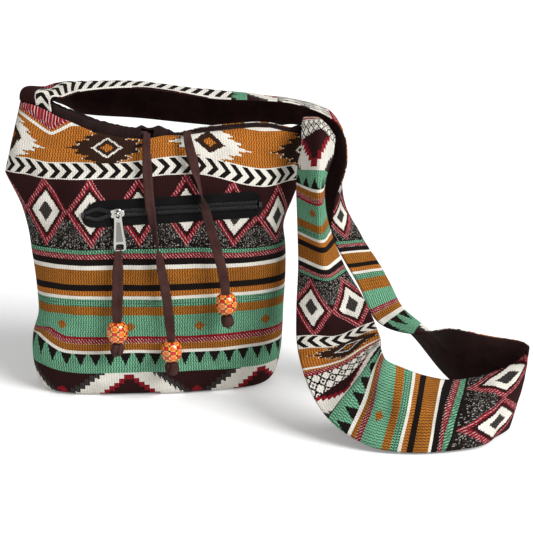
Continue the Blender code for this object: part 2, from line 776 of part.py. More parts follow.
def strung(prefix, route, where, looks):
    """The bead and the knot at the lower end of a cord."""
    axis = (Vector(route[-2]) - Vector(route[-1])).normalized()
    end = Vector(route[-1])
    centre = end + axis * (BEAD_HEIGHT / 2 + CLEARANCE)
    bead(f"{prefix}_bead", centre, axis, where, looks["bead"])
    knot(f"{prefix}_knot", end, axis, where, looks["cord"])


def pull_set(where, cutters, looks, plate_out):
    """The pull tab on the slider's bridge, wider towards its foot, with an eye and a ribbon slot."""
    axle = zip_frame(SLIDER_X, 0, plate_out + AXLE_HEIGHT)
    along = zip_along()
    out = zip_out()
    up = out.cross(along)
    high = PULL_BAR / 2
    low = high - PULL_LENGTH
    neck = -2 * PULL_EYE_HEIGHT
    shape = [
        (-PULL_WIDTH / 2, low),
        (PULL_WIDTH / 2, low),
        (PULL_WIDTH / 2, low + PULL_LENGTH / 3),
        (PULL_NECK / 2, neck),
        (PULL_NECK / 2, high),
        (-PULL_NECK / 2, high),
        (-PULL_NECK / 2, neck),
        (-PULL_WIDTH / 2, low + PULL_LENGTH / 3),
    ]
    bm = bmesh.new()
    back = axle - out * (PULL_THICK / 2)
    face = bm.faces.new([bm.verts.new(back + along * side + up * rise) for side, rise in shape])
    made = bmesh.ops.extrude_face_region(bm, geom=[face])
    lifted = [item for item in made["geom"] if isinstance(item, bmesh.types.BMVert)]
    bmesh.ops.translate(bm, vec=out * PULL_THICK, verts=lifted)
    bmesh.ops.recalc_face_normals(bm, faces=bm.faces)
    tab = finish_mesh("pull_tab", bm, where, looks["metal"])
    round_off = tab.modifiers.new("Round", "BEVEL")
    round_off.width = PULL_THICK * 0.25
    round_off.segments = 2
    round_off.limit_method = "ANGLE"
    deep = 3 * PULL_THICK
    eye_middle = axle - up * (high + PULL_EYE_HEIGHT / 2)
    cut(tab, block("pull_eye_cutter", (PULL_EYE_WIDTH, deep, PULL_EYE_HEIGHT), eye_middle, along), cutters)
    slot_middle = axle + up * (low + PULL_BAR + PULL_SLOT_HEIGHT / 2)
    cut(tab, block("pull_slot_cutter", (PULL_SLOT_WIDTH, deep, PULL_SLOT_HEIGHT), slot_middle, along), cutters)


def strap_fine():
    """The strap's stations read finely, with the length along the crease at each."""
    flat = [(*crease, *to_a, *to_b, gather) for crease, to_a, to_b, gather in STRAP]
    fine = []
    length = 0.0
    before = None
    for index in range(16 * (len(flat) - 1) + 1):
        values = smooth(flat, index / 16)
        crease = Vector(values[:3])
        to_a = Vector(values[3:6]).normalized()
        to_b = Vector(values[6:9]).normalized()
        if before is not None:
            length += (crease - before).length
        before = crease
        fine.append((length, crease, to_a, to_b, values[9]))
    return fine


def strap_values(fine, length):
    """The crease, the two ways and the gather at a length along the strap."""
    low = 0
    high = len(fine) - 1
    while high - low > 1:
        middle = (low + high) // 2
        if fine[middle][0] <= length:
            low = middle
        else:
            high = middle
    part = (length - fine[low][0]) / (fine[high][0] - fine[low][0])
    crease = fine[low][1].lerp(fine[high][1], part)
    to_a = fine[low][2].lerp(fine[high][2], part).normalized()
    to_b = fine[low][3].lerp(fine[high][3], part).normalized()
    gather = fine[low][4] + (fine[high][4] - fine[low][4]) * part
    return crease, to_a, to_b, gather


def rim_walk(seam_angle, to_front, distance):
    """A point of the rim at a distance from a side seam, along the front or the back."""
    top = len(SECTIONS)
    sign = 1 if (seam_angle > 1) == to_front else -1
    angle = seam_angle
    point = body_point(angle, top)
    walked = 0.0
    while True:
        angle += sign * 0.01
        after = body_point(angle, top)
        step = (after - point).length
        if walked + step >= distance:
            return point.lerp(after, (distance - walked) / step)
        walked += step
        point = after


def strap_row(fine, length, across):
    """One row of the strap's middle surface, from its A edge to its B edge."""
    total = fine[-1][0]
    crease, to_a, to_b, gather = strap_values(fine, length)
    ends = (
        (pi, length, STRAP_BLEND_LEFT, 1.0, 0.75),
        (0.0, total - length, STRAP_BLEND_RIGHT, STRAP_GATHER_RIGHT, 0.0),
    )
    row = []
    for place in across:
        toward_b = 0.5 * (place + hypot(place, STRAP_CREASE)) - STRAP_CREASE / 2
        toward_a = toward_b - place
        point = crease + (to_a * toward_a + to_b * toward_b) * gather
        for seam_angle, from_end, blend, held, flare in ends:
            if from_end < blend:
                root = rim_walk(seam_angle, place < 0, abs(place) * held)
                root.z += STRAP_LIFT + from_end * (1 - flare * max(place, 0.0) / STRAP_HALF)
                point = point.lerp(root, 1 - ease(from_end / blend))
        row.append(point)
    return row


def strap_place(total, part):
    """Length along the strap at a share of its rows, which lie closer near the shoulders."""
    turn = 2 * pi * part
    return total * (turn - STRAP_CLOSER * sin(turn)) / (2 * pi)


def strap_piece(name, rows, shift, thickness, where, look):
    bm = bmesh.new()
    made = [[bm.verts.new(point) for point in row] for row in rows]
    grid_faces(bm, made)
    bmesh.ops.reverse_faces(bm, faces=bm.faces)
    bmesh.ops.triangulate(bm, faces=bm.faces, quad_method="FIXED")
    item = finish_mesh(name, bm, where, look, shift)
    return thicken(item, thickness)


def strap(where, looks):
    """Two lengths of outer cloth meeting at a seam, over one lining, on shared rows."""
    fine = strap_fine()
    total = fine[-1][0]
    across = [STRAP_HALF * (2 * index / STRAP_COLUMNS - 1) for index in range(STRAP_COLUMNS + 1)]
    count = round(total / STRAP_ROW)
    lengths = [strap_place(total, index / count) for index in range(count + 1)]
    rows = [strap_row(fine, length, across) for length in lengths]
    seam = next(index for index, length in enumerate(lengths) if length >= STRAP_SEAM)
    meeting = strap_row(fine, lengths[seam] - CLEARANCE, across)
    out = STRAP_GAP / 2 + CLOTH / 2
    inward = -(STRAP_GAP / 2 + LINING / 2)
    strap_piece("strap_short_piece", rows[:seam] + [meeting], out, CLOTH, where, looks["cloth_b"])
    strap_piece("strap_long_piece", rows[seam:], out, CLOTH, where, looks["cloth_a"])
    strap_piece("strap_lining", rows, inward, LINING, where, looks["lining"])


def build():
    clear_scene()
    bag = collection("drawstring_sling_bag")
    cutters = collection("cutters")
    looks = {
        "cloth_front": material("jacquard_front", (0.46, 0.27, 0.10), 0.9),
        "cloth_back": material("jacquard_back", (0.40, 0.24, 0.10), 0.9),
        "cloth_a": material("jacquard_strap", (0.30, 0.42, 0.30), 0.9),
        "cloth_b": material("jacquard_strap_end", (0.45, 0.10, 0.08), 0.9),
        "lining": material("cotton_lining", (0.035, 0.018, 0.016), 0.92),
        "cord": material("cotton_cord", (0.055, 0.030, 0.026), 0.9),
        "tape": material("zip_tape", (0.010, 0.010, 0.012), 0.8),
        "chain": material("zip_chain", (0.012, 0.012, 0.014), 0.35),
        "metal": material("nickel", (0.75, 0.74, 0.72), 0.2, 1.0),
        "bead": material("painted_wood", (0.58, 0.10, 0.03), 0.3),
        "pouch": material("pocket_cotton", (0.05, 0.03, 0.03), 0.9),
    }
    panel = front_panel(bag, looks["cloth_front"])
    cut_zip_slot(panel, cutters)
    back_panel(bag, looks["cloth_back"])
    body_lining(bag, looks["lining"])
    pocket_pouch(bag, looks["pouch"])
    zip_set(bag, looks)
    slider, leg, plate_out = zip_slider(bag, looks["metal"])
    cut(slider, leg, cutters, "UNION")
    cut(slider, bridge(plate_out), cutters, "UNION")
    pull_set(bag, cutters, looks, plate_out)
    mouth_casing(bag, cutters, looks["lining"])
    drawstring(bag, looks["cord"])
    strung("left_end", LEFT_END, bag, looks)
    strung("right_end", RIGHT_END, bag, looks)
    ribbon = tube("pull_ribbon", even_route(PULL_RIBBON, RIBBON_RADIUS * 3), RIBBON_RADIUS, 2)
    ribbon.data.materials.append(looks["cord"])
    bag.objects.link(ribbon)
    strung("pull", PULL_RIBBON, bag, looks)
    strap(bag, looks)


build()
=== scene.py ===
"""Dressed scene of the drawstring sling bag. Metres, +Z up, +Y towards the wearer's side."""

from math import cos, exp, hypot, pi, radians, sin

import bmesh
import bpy
from mathutils import Matrix, Vector, noise


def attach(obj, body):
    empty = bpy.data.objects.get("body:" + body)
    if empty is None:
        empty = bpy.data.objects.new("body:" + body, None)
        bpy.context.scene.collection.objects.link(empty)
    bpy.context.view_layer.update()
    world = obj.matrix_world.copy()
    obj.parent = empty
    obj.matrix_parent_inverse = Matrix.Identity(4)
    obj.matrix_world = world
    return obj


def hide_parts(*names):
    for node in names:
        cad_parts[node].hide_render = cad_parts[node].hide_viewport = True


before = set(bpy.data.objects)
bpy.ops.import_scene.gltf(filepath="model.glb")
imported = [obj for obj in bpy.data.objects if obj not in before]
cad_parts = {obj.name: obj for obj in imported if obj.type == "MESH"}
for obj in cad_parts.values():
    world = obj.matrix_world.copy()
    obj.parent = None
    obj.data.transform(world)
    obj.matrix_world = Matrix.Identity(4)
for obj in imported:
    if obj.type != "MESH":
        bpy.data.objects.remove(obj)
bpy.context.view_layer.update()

# Sizes in metres, shared with the CAD, and places on the bag
CLOTH = 0.0012
LINING = 0.0008
TIP_INSET_RATIO = 1.8
LINING_INSET = 0.0046
# Each level of the wall: height, left, right, half depth and squareness
SECTIONS = [
    (0.000, -0.116, 0.112, 0.040, 3.0), (0.0035, -0.125, 0.121, 0.047, 3.0),
    (0.013, -0.131, 0.128, 0.051, 2.9), (0.035, -0.135, 0.133, 0.054, 2.8),
    (0.060, -0.134, 0.135, 0.055, 2.7), (0.086, -0.127, 0.136, 0.054, 2.7),
    (0.120, -0.128, 0.138, 0.052, 2.7), (0.150, -0.131, 0.138, 0.051, 2.7),
    (0.178, -0.134, 0.136, 0.049, 2.7), (0.205, -0.141, 0.146, 0.046, 2.6),
    (0.238, -0.156, 0.159, 0.041, 2.5),
]
TOP = len(SECTIONS)
TURN = 0.08
# Along the rim: place across, height, and the half gaps to the front and to the back
RIM = [
    (-0.137, 0.312, 0.024, 0.024), (-0.116, 0.308, 0.027, 0.026), (-0.096, 0.298, 0.031, 0.028),
    (-0.058, 0.284, 0.035, 0.026), (-0.010, 0.2757, 0.031, 0.022), (0.024, 0.2800, 0.019, 0.018),
    (0.080, 0.2860, 0.017, 0.018), (0.122, 0.2870, 0.019, 0.020), (0.150, 0.2770, 0.021, 0.022),
    (0.167, 0.2640, 0.021, 0.022),
]
RIM_SQUARENESS = 2.3
ZIP_MIDDLE = Vector((0.020, -0.0470, 0.2045))
ZIP_SLOPE_BACK = 0.10
ZIP_SLOPE_UP = 0.04
ZIP_LEFT = -0.073
ZIP_RIGHT = 0.113
ZIP_FLAT = 0.018
ZIP_FADE = 0.030
ZIP_OPEN_X = -0.0565
ZIP_OPEN_HALF = 0.0135
SLIDER_X = -0.0357
SLIDER_DEPTH = (0.0029, 0.0043)
AXLE_OUT = 0.0059
ARCH_RADIUS = 0.0030
ARCH_LEG = 0.0020
ARCH_WIDE = 0.0013
ARCH_THICK = 0.0007
COIL_PITCH = 0.0016
COIL_TURN = (0.00068, 0.00260, 0.00095)
PULL_THICK = 0.0016
PULL_HIGH = 0.0007
PULL_LOW = PULL_HIGH - 0.040
FOLD_X = -0.112
FOLD_Z = 0.083
CASING_INSET = 0.0065
CASING_RADIUS = 0.0042
EXIT_LEFT_X = -0.0053
EXIT_RIGHT_X = 0.0350
EXIT_TURN = 0.009
BEAD_RADIUS = 0.0112
BEAD_HEIGHT = 0.0210
BEAD_BORE = 0.0031
SKY = 0.38
KEY = 3.4
KEY_WAY = Vector((-0.64, 0.48, -0.60))
FLOOR_GLOW = 0.20
POUCH_DEPTH = 0.090
POUCH_FRONT_INSET = 0.0019
POUCH_BACK_INSET = 0.0031
POUCH_LEFT = -0.062
POUCH_RIGHT = 0.072
TAPE_WIDTH = 0.0105
HEM_GAP = 0.0062
CLEARANCE = 0.0003
CHART = "cloth"

# The free ends of the drawstring and the ribbon on the pull, from the top down
LEFT_END = [
    (-0.0053, -0.0292, 0.2812), (-0.0052, -0.0370, 0.2802), (-0.0050, -0.0445, 0.2745), (-0.0046, -0.0500, 0.2640),
    (-0.0040, -0.0545, 0.2450), (-0.0020, -0.0585, 0.2150), (0.0030, -0.0605, 0.1800), (0.0090, -0.0625, 0.1450),
    (0.0145, -0.0660, 0.1120), (0.0172, -0.0690, 0.0850), (0.0182, -0.0705, 0.0650), (0.0188, -0.0715, 0.0474),
]
RIGHT_END = [
    (0.0350, -0.0110, 0.2795), (0.0352, -0.0215, 0.2822), (0.0360, -0.0305, 0.2798), (0.0385, -0.0385, 0.2700),
    (0.0440, -0.0470, 0.2500), (0.0520, -0.0530, 0.2180), (0.0600, -0.0570, 0.1880), (0.0680, -0.0600, 0.1600),
    (0.0735, -0.0625, 0.1360), (0.0757, -0.0640, 0.1150), (0.0767, -0.0648, 0.0972),
]
PULL_RIBBON = [
    (-0.0356, -0.0590, 0.1632), (-0.0358, -0.0606, 0.1560), (-0.0362, -0.0645, 0.1400), (-0.0366, -0.0680, 0.1200),
    (-0.0371, -0.0705, 0.1040), (-0.0375, -0.0717, 0.0860), (-0.0378, -0.0727, 0.0687),
]

STRAP_HALF = 0.0425
STRAP_CREASE = 0.008
STRAP_BLEND_LEFT = 0.036
STRAP_BLEND_RIGHT = 0.024
STRAP_GATHER_RIGHT = 0.40
STRAP_SEAM = 0.235
STRAP_GAP = 0.0009
STRAP_LIFT = 0.0012
STRAP_LENGTH = 1.3234
# Each station: the crease's place, the ways to the A edge and to the B edge, and the gather
STRAP = [
    ((-0.1370, -0.0110, 0.3120), (0.50, -0.85, 0.00), (0.50, 0.85, 0.00), 1.00),
    ((-0.1235, 0.0010, 0.3190), (0.62, -0.75, -0.10), (0.30, 0.88, -0.36), 1.00),
    ((-0.1030, 0.0160, 0.3260), (0.40, -0.85, -0.25), (0.10, 0.68, -0.72), 1.00),
    ((-0.0755, 0.0335, 0.3240), (0.10, -0.98, -0.15), (0.00, 0.30, -0.95), 1.00),
    ((-0.0256, 0.0480, 0.3210), (0.00, -1.00, -0.05), (0.00, 0.12, -0.99), 1.00),
    ((0.0184, 0.0520, 0.3160), (0.00, -1.00, -0.05), (0.00, 0.10, -0.99), 1.00),
    ((0.0641, 0.0530, 0.3110), (0.00, -0.98, -0.12), (0.00, 0.10, -0.99), 1.00),
    ((0.1100, 0.0560, 0.3050), (0.00, -1.00, -0.02), (-0.05, 0.15, -0.99), 0.95),
    ((0.1530, 0.0610, 0.2990), (-0.02, -0.98, -0.06), (-0.15, 0.20, -0.97), 0.70),
    ((0.1900, 0.0560, 0.2840), (0.10, -0.96, -0.20), (-0.75, 0.25, -0.60), 0.75),
    ((0.1995, 0.0480, 0.2450), (0.02, -1.00, -0.05), (-0.98, 0.18, -0.10), 0.90),
    ((0.1995, 0.0350, 0.2000), (-0.30, -0.95, 0.05), (-0.92, 0.38, 0.05), 1.00),
    ((0.2215, 0.0140, 0.1570), (-0.86, -0.50, 0.08), (-0.80, 0.60, -0.05), 1.00),
    ((0.2480, -0.0180, 0.1190), (-0.88, -0.47, 0.00), (-0.60, 0.76, -0.20), 1.00),
    ((0.2600, -0.0440, 0.0980), (-0.72, -0.66, -0.20), (-0.36, 0.80, -0.40), 1.00),
    ((0.2800, -0.0640, 0.0850), (-0.28, -0.95, 0.02), (-0.10, 0.70, -0.60), 1.00),
    ((0.3080, -0.0780, 0.0640), (-0.05, -0.70, 0.70), (0.00, 0.42, -0.84), 1.00),
    ((0.3430, -0.0920, 0.0470), (0.00, -0.36, 0.93), (0.00, 0.12, -0.99), 1.00),
    ((0.3680, -0.1120, 0.0430), (0.18, -0.12, 0.97), (-0.10, -0.02, -0.99), 1.00),
    ((0.3740, -0.1380, 0.0425), (0.14, 0.08, 0.98), (-0.26, -0.08, -0.96), 1.00),
    ((0.3600, -0.1610, 0.0415), (0.26, 0.66, 0.60), (-0.36, -0.22, -0.90), 1.00),
    ((0.3340, -0.1780, 0.0412), (0.10, 0.92, 0.32), (-0.14, -0.30, -0.94), 1.00),
    ((0.3000, -0.1900, 0.0412), (0.00, 0.95, 0.28), (0.00, -0.26, -0.96), 1.00),
    ((0.2640, -0.1950, 0.0416), (0.00, 0.81, 0.56), (-0.06, -0.28, -0.96), 1.00),
    ((0.2320, -0.1900, 0.0445), (0.10, 0.42, 0.90), (-0.34, -0.28, -0.90), 1.00),
    ((0.2060, -0.1720, 0.0580), (0.56, 0.20, 0.80), (-0.72, -0.16, -0.67), 1.00),
    ((0.1920, -0.1440, 0.0820), (0.88, 0.10, 0.45), (-0.96, 0.18, -0.22), 1.00),
    ((0.1840, -0.1100, 0.1080), (0.86, 0.46, 0.20), (-0.82, 0.57, 0.05), 1.00),
    ((0.1790, -0.0800, 0.1420), (0.46, 0.88, 0.05), (-0.66, 0.74, 0.10), 1.00),
    ((0.1735, -0.0640, 0.1850), (0.17, 0.98, 0.05), (-0.56, 0.82, 0.05), 1.00),
    ((0.1710, -0.0640, 0.2250), (0.13, 0.99, 0.00), (-0.54, 0.84, 0.05), 1.00),
    ((0.1720, -0.0620, 0.2600), (0.26, 0.88, -0.40), (-0.60, 0.75, -0.25), 0.85),
    ((0.1735, -0.0490, 0.2820), (0.45, 0.45, -0.77), (-0.70, 0.35, -0.62), 0.65),
    ((0.1745, -0.0270, 0.2930), (0.60, 0.10, -0.79), (-0.90, 0.10, -0.25), 0.50),
    ((0.1725, -0.0060, 0.2915), (0.15, -0.80, -0.55), (-0.80, 0.45, -0.05), 0.43),
    ((0.1695, 0.0095, 0.2830), (-0.45, -0.88, -0.05), (-0.50, 0.85, 0.00), 0.40),
    ((0.1680, 0.0130, 0.2650), (-0.50, -0.85, 0.00), (-0.50, 0.85, 0.00), 0.40),
]

# Length along the strap, then the cloth's own place there at the A edge and at the B edge
STRAP_CLOTH = [
    (0.235, 1.0200, 1.0200), (0.255, 1.0025, 1.0025), (0.288, 0.9735, 0.9735), (0.346, 0.9525, 0.9525),
    (0.368, 0.9415, 0.9415), (0.4175, 0.9055, 0.9055), (0.495, 0.8119, 0.8119), (0.512, 0.7899, 0.7899),
    (0.529, 0.7667, 0.7667), (0.544, 0.7500, 0.7500), (0.558, 0.7412, 0.7412), (0.579, 0.7101, 0.7101),
    (0.592, 0.6992, 0.6992), (0.795, 0.5265, 0.5285), (0.835, 0.4874, 0.5010), (0.861, 0.4662, 0.4874),
    (0.878, 0.4463, 0.4654), (0.8945, 0.4293, 0.4422), (0.911, 0.4167, 0.4190), (0.928, 0.4010, 0.3917),
    (0.9367, 0.3870, 0.3747), (0.953, 0.3710, 0.3535), (0.9665, 0.3300, 0.3245), (0.9850, 0.2925, 0.3000),
    (1.0025, 0.2565, 0.2565), (1.0138, 0.2405, 0.2405), (1.079, 0.1629, 0.1629), (1.087, 0.1508, 0.1508),
    (1.137, 0.0922, 0.0922), (1.160, 0.0672, 0.0672), (1.176, 0.0502, 0.0502), (1.195, 0.0290, 0.0290),
    (1.240, 0.0000, 0.0000), (1.262, -0.0210, -0.0210), (1.330, -0.0890, -0.0890),
]
STRAP_CLOTH_SIDE = -0.0376


def smooth(values, place):
    """Read a smooth curve through a list of equal tuples at a place counted in list items."""
    last = len(values) - 1
    place = min(max(place, 0.0), float(last))
    start = min(int(place), last - 1)
    part = place - start
    before = values[max(start - 1, 0)]
    low = values[start]
    high = values[start + 1]
    after = values[min(start + 2, last)]
    out = []
    for a, b, c, d in zip(before, low, high, after):
        slope_in = 0.5 * (c - a)
        slope_out = 0.5 * (d - b)
        cube = 2 * (b - c) + slope_in + slope_out
        square = 3 * (c - b) - 2 * slope_in - slope_out
        out.append(((cube * part + square) * part + slope_in) * part + b)
    return out


def ease(part):
    """Nought to one, with soft ends."""
    part = min(max(part, 0.0), 1.0)
    return part * part * (3 - 2 * part)


def window(value, start, rise, stop, fall):
    """One between two places, easing in after the first and out after the second."""
    return ease((value - start) / rise) * (1 - ease((value - stop) / fall))


def bell(value, middle, width):
    """One at the middle, and falling off to both sides."""
    return exp(-(((value - middle) / width) ** 2))


def lengths_along(points):
    """How far along a line of points each of them lies."""
    lengths = [0.0]
    for low, high in zip(points, points[1:]):
        lengths.append(lengths[-1] + (high - low).length)
    return lengths


def power(value, square):
    """A cosine or sine drawn towards the corners of a squarish round."""
    return abs(value) ** (2 / square) * (1 if value >= 0 else -1)


def rim_at(across):
    """Height and half gaps of the mouth's rim at a place across the bag."""
    for index in range(len(RIM) - 1):
        if across <= RIM[index + 1][0] or index == len(RIM) - 2:
            span = RIM[index + 1][0] - RIM[index][0]
            return smooth(RIM, index + (across - RIM[index][0]) / span)[1:]


def zip_line(x):
    """Depth and height of the zip's line at a place across the bag."""
    along = x - ZIP_MIDDLE.x
    return ZIP_MIDDLE.y + ZIP_SLOPE_BACK * along, ZIP_MIDDLE.z + ZIP_SLOPE_UP * along


def zip_share(x, z, flat=ZIP_FLAT, fade=ZIP_FADE):
    """One where the zip holds the front wall straight, and nought away from it."""
    beside = max(ZIP_LEFT - x, x - ZIP_RIGHT, 0.0)
    above = max(abs(z - zip_line(x)[1]) - flat, 0.0)
    return (1 - ease(beside / fade)) * (1 - ease(above / fade))


def spread(part):
    """The angle at a share of a full turn, with the places closer at the seams and the middles."""
    turn = 2 * pi * part
    return turn - sin(4 * turn) / 8


def body_point(angle, level, inset=0.0):
    """A point of the bag's wall. Level counts SECTIONS from the base, and one more reaches the rim."""
    top = TOP - 1
    side = inset * TIP_INSET_RATIO
    height, left, right, depth, square = smooth(SECTIONS, min(level, top))
    left += side
    right -= side
    across = power(cos(angle), square)
    x = (left + right) / 2 + (right - left) / 2 * across
    y = (depth - inset) * power(sin(angle), square)
    z = height + inset * max(0.0, 1 - height / 0.03)
    if level > top:
        rise = level - top
        rim_left = RIM[0][0] + side
        rim_right = RIM[-1][0] - side
        rim_x = (rim_left + rim_right) / 2 + (rim_right - rim_left) / 2 * across
        rim_z, gap_front, gap_back = rim_at(rim_x)
        rim_z -= 0.005 * window(rim_x, 0.005, 0.03, 0.130, 0.03)
        if sin(angle) > 0:
            rim_z -= 0.0075 * sin(angle) * window(rim_x, -0.137, 0.025, 0.0, 0.05)
        gap = gap_back if sin(angle) >= 0 else gap_front
        rim_y = (gap - inset) * power(sin(angle), RIM_SQUARENESS)
        lean = rise**1.4
        x += (rim_x - x) * rise
        y += (rim_y - y) * lean
        z += (rim_z - z) * rise
    y += TURN * x
    if sin(angle) < 0:
        y += (zip_line(x)[0] + inset - y) * zip_share(x, z)
    return Vector((x, y, z + CLOTH / 2))


def ripple(x, y, z, size, seed):
    """Smooth noise of a size, from about -1 to 1."""
    return noise.noise(Vector((x / size + seed, y / size - seed, z / size + 2.3 * seed)))


def folds(x, z, front):
    """How far the cloth stands off its plain form: slack, gathers under the hem and dents at the corners."""
    quiet = 1 - zip_share(x, z, 0.013, 0.012) if front else 1.0
    seed = 3.1 if front else 8.7
    soft = 0.0020 * ripple(x, 0, z * 0.8, 0.050, seed) + 0.0011 * ripple(x, 0, z, 0.018, seed + 5)
    near_rim = ease((z - 0.235) / 0.045)
    gather = 0.0013 * near_rim * ripple(x, 0, 0, 0.011, seed + 9)
    low = ease((0.10 - z) / 0.08)
    slump = 0.0012 * low * ripple(x * 0.7, 0, z * 2.2, 0.030, seed + 2)
    dent = 0.0
    if front:
        along = (x - FOLD_X) / 0.030
        dent = -0.0035 * max(0.0, 1 - along * along) * bell(z - 0.55 * (x - FOLD_X), FOLD_Z, 0.008)
    return (soft + gather + slump + dent) * quiet


def material(name, colour=None, roughness=0.9, metallic=0.0):
    """A material with its shader, in plain values."""
    made = bpy.data.materials.new(name)
    made.use_nodes = True
    shader = made.node_tree.nodes["Principled BSDF"]
    if colour:
        shader.inputs["Base Color"].default_value = (*colour, 1.0)
    shader.inputs["Roughness"].default_value = roughness
    shader.inputs["Metallic"].default_value = metallic
    return made


def screen(red, green, blue):
    """A colour as seen on screen, from 0 to 255, in the numbers that shaders use."""
    out = []
    for value in (red, green, blue):
        value /= 255
        out.append(value / 12.92 if value <= 0.04045 else ((value + 0.055) / 1.055) ** 2.4)
    return tuple(out)


class Number:
    """A number in a node tree, on which plain arithmetic adds the nodes."""

    def __init__(self, tree, socket):
        self.tree = tree
        self.socket = socket

    def math(self, operation, *others, clamp=False):
        node = self.tree.nodes.new("ShaderNodeMath")
        node.operation = operation
        node.use_clamp = clamp
        for slot, value in zip(node.inputs, (self, *others)):
            if isinstance(value, Number):
                self.tree.links.new(value.socket, slot)
            else:
                slot.default_value = value
        return Number(self.tree, node.outputs[0])

    def __add__(self, other):
        return self.math("ADD", other)

    def __sub__(self, other):
        return self.math("SUBTRACT", other)

    def __mul__(self, other):
        return self.math("MULTIPLY", other)

    def __truediv__(self, other):
        return self.math("DIVIDE", other)

    def __lt__(self, other):
        return self.math("LESS_THAN", other)

    def __gt__(self, other):
        return self.math("GREATER_THAN", other)

    def __and__(self, other):
        return self.math("MULTIPLY", other)

    def __or__(self, other):
        return self.math("MAXIMUM", other)

    def size(self):
        return self.math("ABSOLUTE")

    def wrap(self, period):
        return self.math("FLOORED_MODULO", period)

    def steps(self, width):
        """The same number in steps of a width, as a weave draws it."""
        return (self / width).math("FLOOR") * width + width / 2

    def beside(self, period, middle=0.0):
        """Signed distance to the nearest of places a period apart."""
        return (self - middle + period / 2).wrap(period) - period / 2

    def between(self, low, high):
        return (self > low) & (self < high)


def new_group(name, inputs, outputs):
    """An empty node group, with its input and output nodes."""
    tree = bpy.data.node_groups.new(name, "ShaderNodeTree")
    for way, sockets in (("INPUT", inputs), ("OUTPUT", outputs)):
        for label, kind in sockets:
            tree.interface.new_socket(label, in_out=way, socket_type=kind)
    return tree, tree.nodes.new("NodeGroupInput"), tree.nodes.new("NodeGroupOutput")


def coordinates(tree, socket, scale=1.0):
    """The three numbers of a vector, scaled."""
    split = tree.nodes.new("ShaderNodeSeparateXYZ")
    tree.links.new(socket, split.inputs[0])
    return [Number(tree, out) * scale for out in split.outputs]


def noise_number(tree, vector, scale, detail):
    """Noise read at a vector."""
    node = tree.nodes.new("ShaderNodeTexNoise")
    node.inputs["Scale"].default_value = scale
    node.inputs["Detail"].default_value = detail
    tree.links.new(vector, node.inputs["Vector"])
    return Number(tree, node.outputs["Fac"])


def paint(tree, under, mask, colour):
    """A colour laid over another where a mask is one."""
    node = tree.nodes.new("ShaderNodeMix")
    node.data_type = "RGBA"
    for slot, value in ((node.inputs[0], mask), (node.inputs[6], under), (node.inputs[7], colour)):
        if isinstance(value, Number):
            tree.links.new(value.socket, slot)
        elif isinstance(value, bpy.types.NodeSocket):
            tree.links.new(value, slot)
        else:
            slot.default_value = (*value, 1.0)
    return node.outputs[2]


ORANGE = screen(214, 130, 50)
MUSTARD = screen(186, 116, 42)
GREEN = screen(126, 194, 156)
MAROON = screen(50, 16, 20)
RED = screen(168, 24, 44)
WHITE = screen(236, 231, 220)
BLACK = screen(17, 16, 16)
GREY = screen(66, 64, 62)
BROWN = screen(58, 36, 24)
DASH = screen(226, 190, 184)
DASH_ON_GREEN = screen(50, 84, 66)
DOT = screen(36, 62, 50)
SPECK = screen(168, 164, 156)
STRIPE = screen(226, 176, 174)
WARP = screen(30, 22, 18)
# Painted shade among the fine threads of the weave
PAINTED_THREAD_SHADE = screen(28, 20, 16)
WEAR = screen(40, 26, 20)

# The cloth's repeat, counted up the bag in millimetres: where each band starts and its ground colour
REPEAT = 324.5
BANDS = [
    (0.0, MAROON), (29.0, GREEN), (50.2, WHITE),
    (53.5, MUSTARD), (61.1, RED), (67.2, GREEN),
    (92.2, MUSTARD), (101.0, GREEN), (108.8, WHITE),
    (112.1, ORANGE), (116.8, BLACK), (124.4, MUSTARD),
    (140.9, WHITE), (145.3, BLACK), (152.4, RED),
    (157.4, GREEN), (162.9, BLACK), (168.5, GREY),
    (195.0, MAROON), (240.5, WHITE), (256.5, ORANGE),
    (292.5, WHITE), (295.5, ORANGE), (299.0, RED),
    (303.5, WHITE),
]
# The bands that carry a pattern: where each starts and stops
HEM = (0.0, 29.0)
WEDGES = (29.0, 50.2)
DASHES_LOW = (61.1, 67.2)
SMALL_DIAMONDS = (67.2, 92.2)
DOTS = (101.0, 108.8)
DASHES_MIDDLE = (152.4, 157.4)
DASHES_GREEN = (157.4, 162.9)
FIELD = (256.5, 292.5)
DASHES_HIGH = (299.0, 303.5)
DIAMONDS = (165.0, 240.5)
CHEVRONS = (241.0, 256.0)


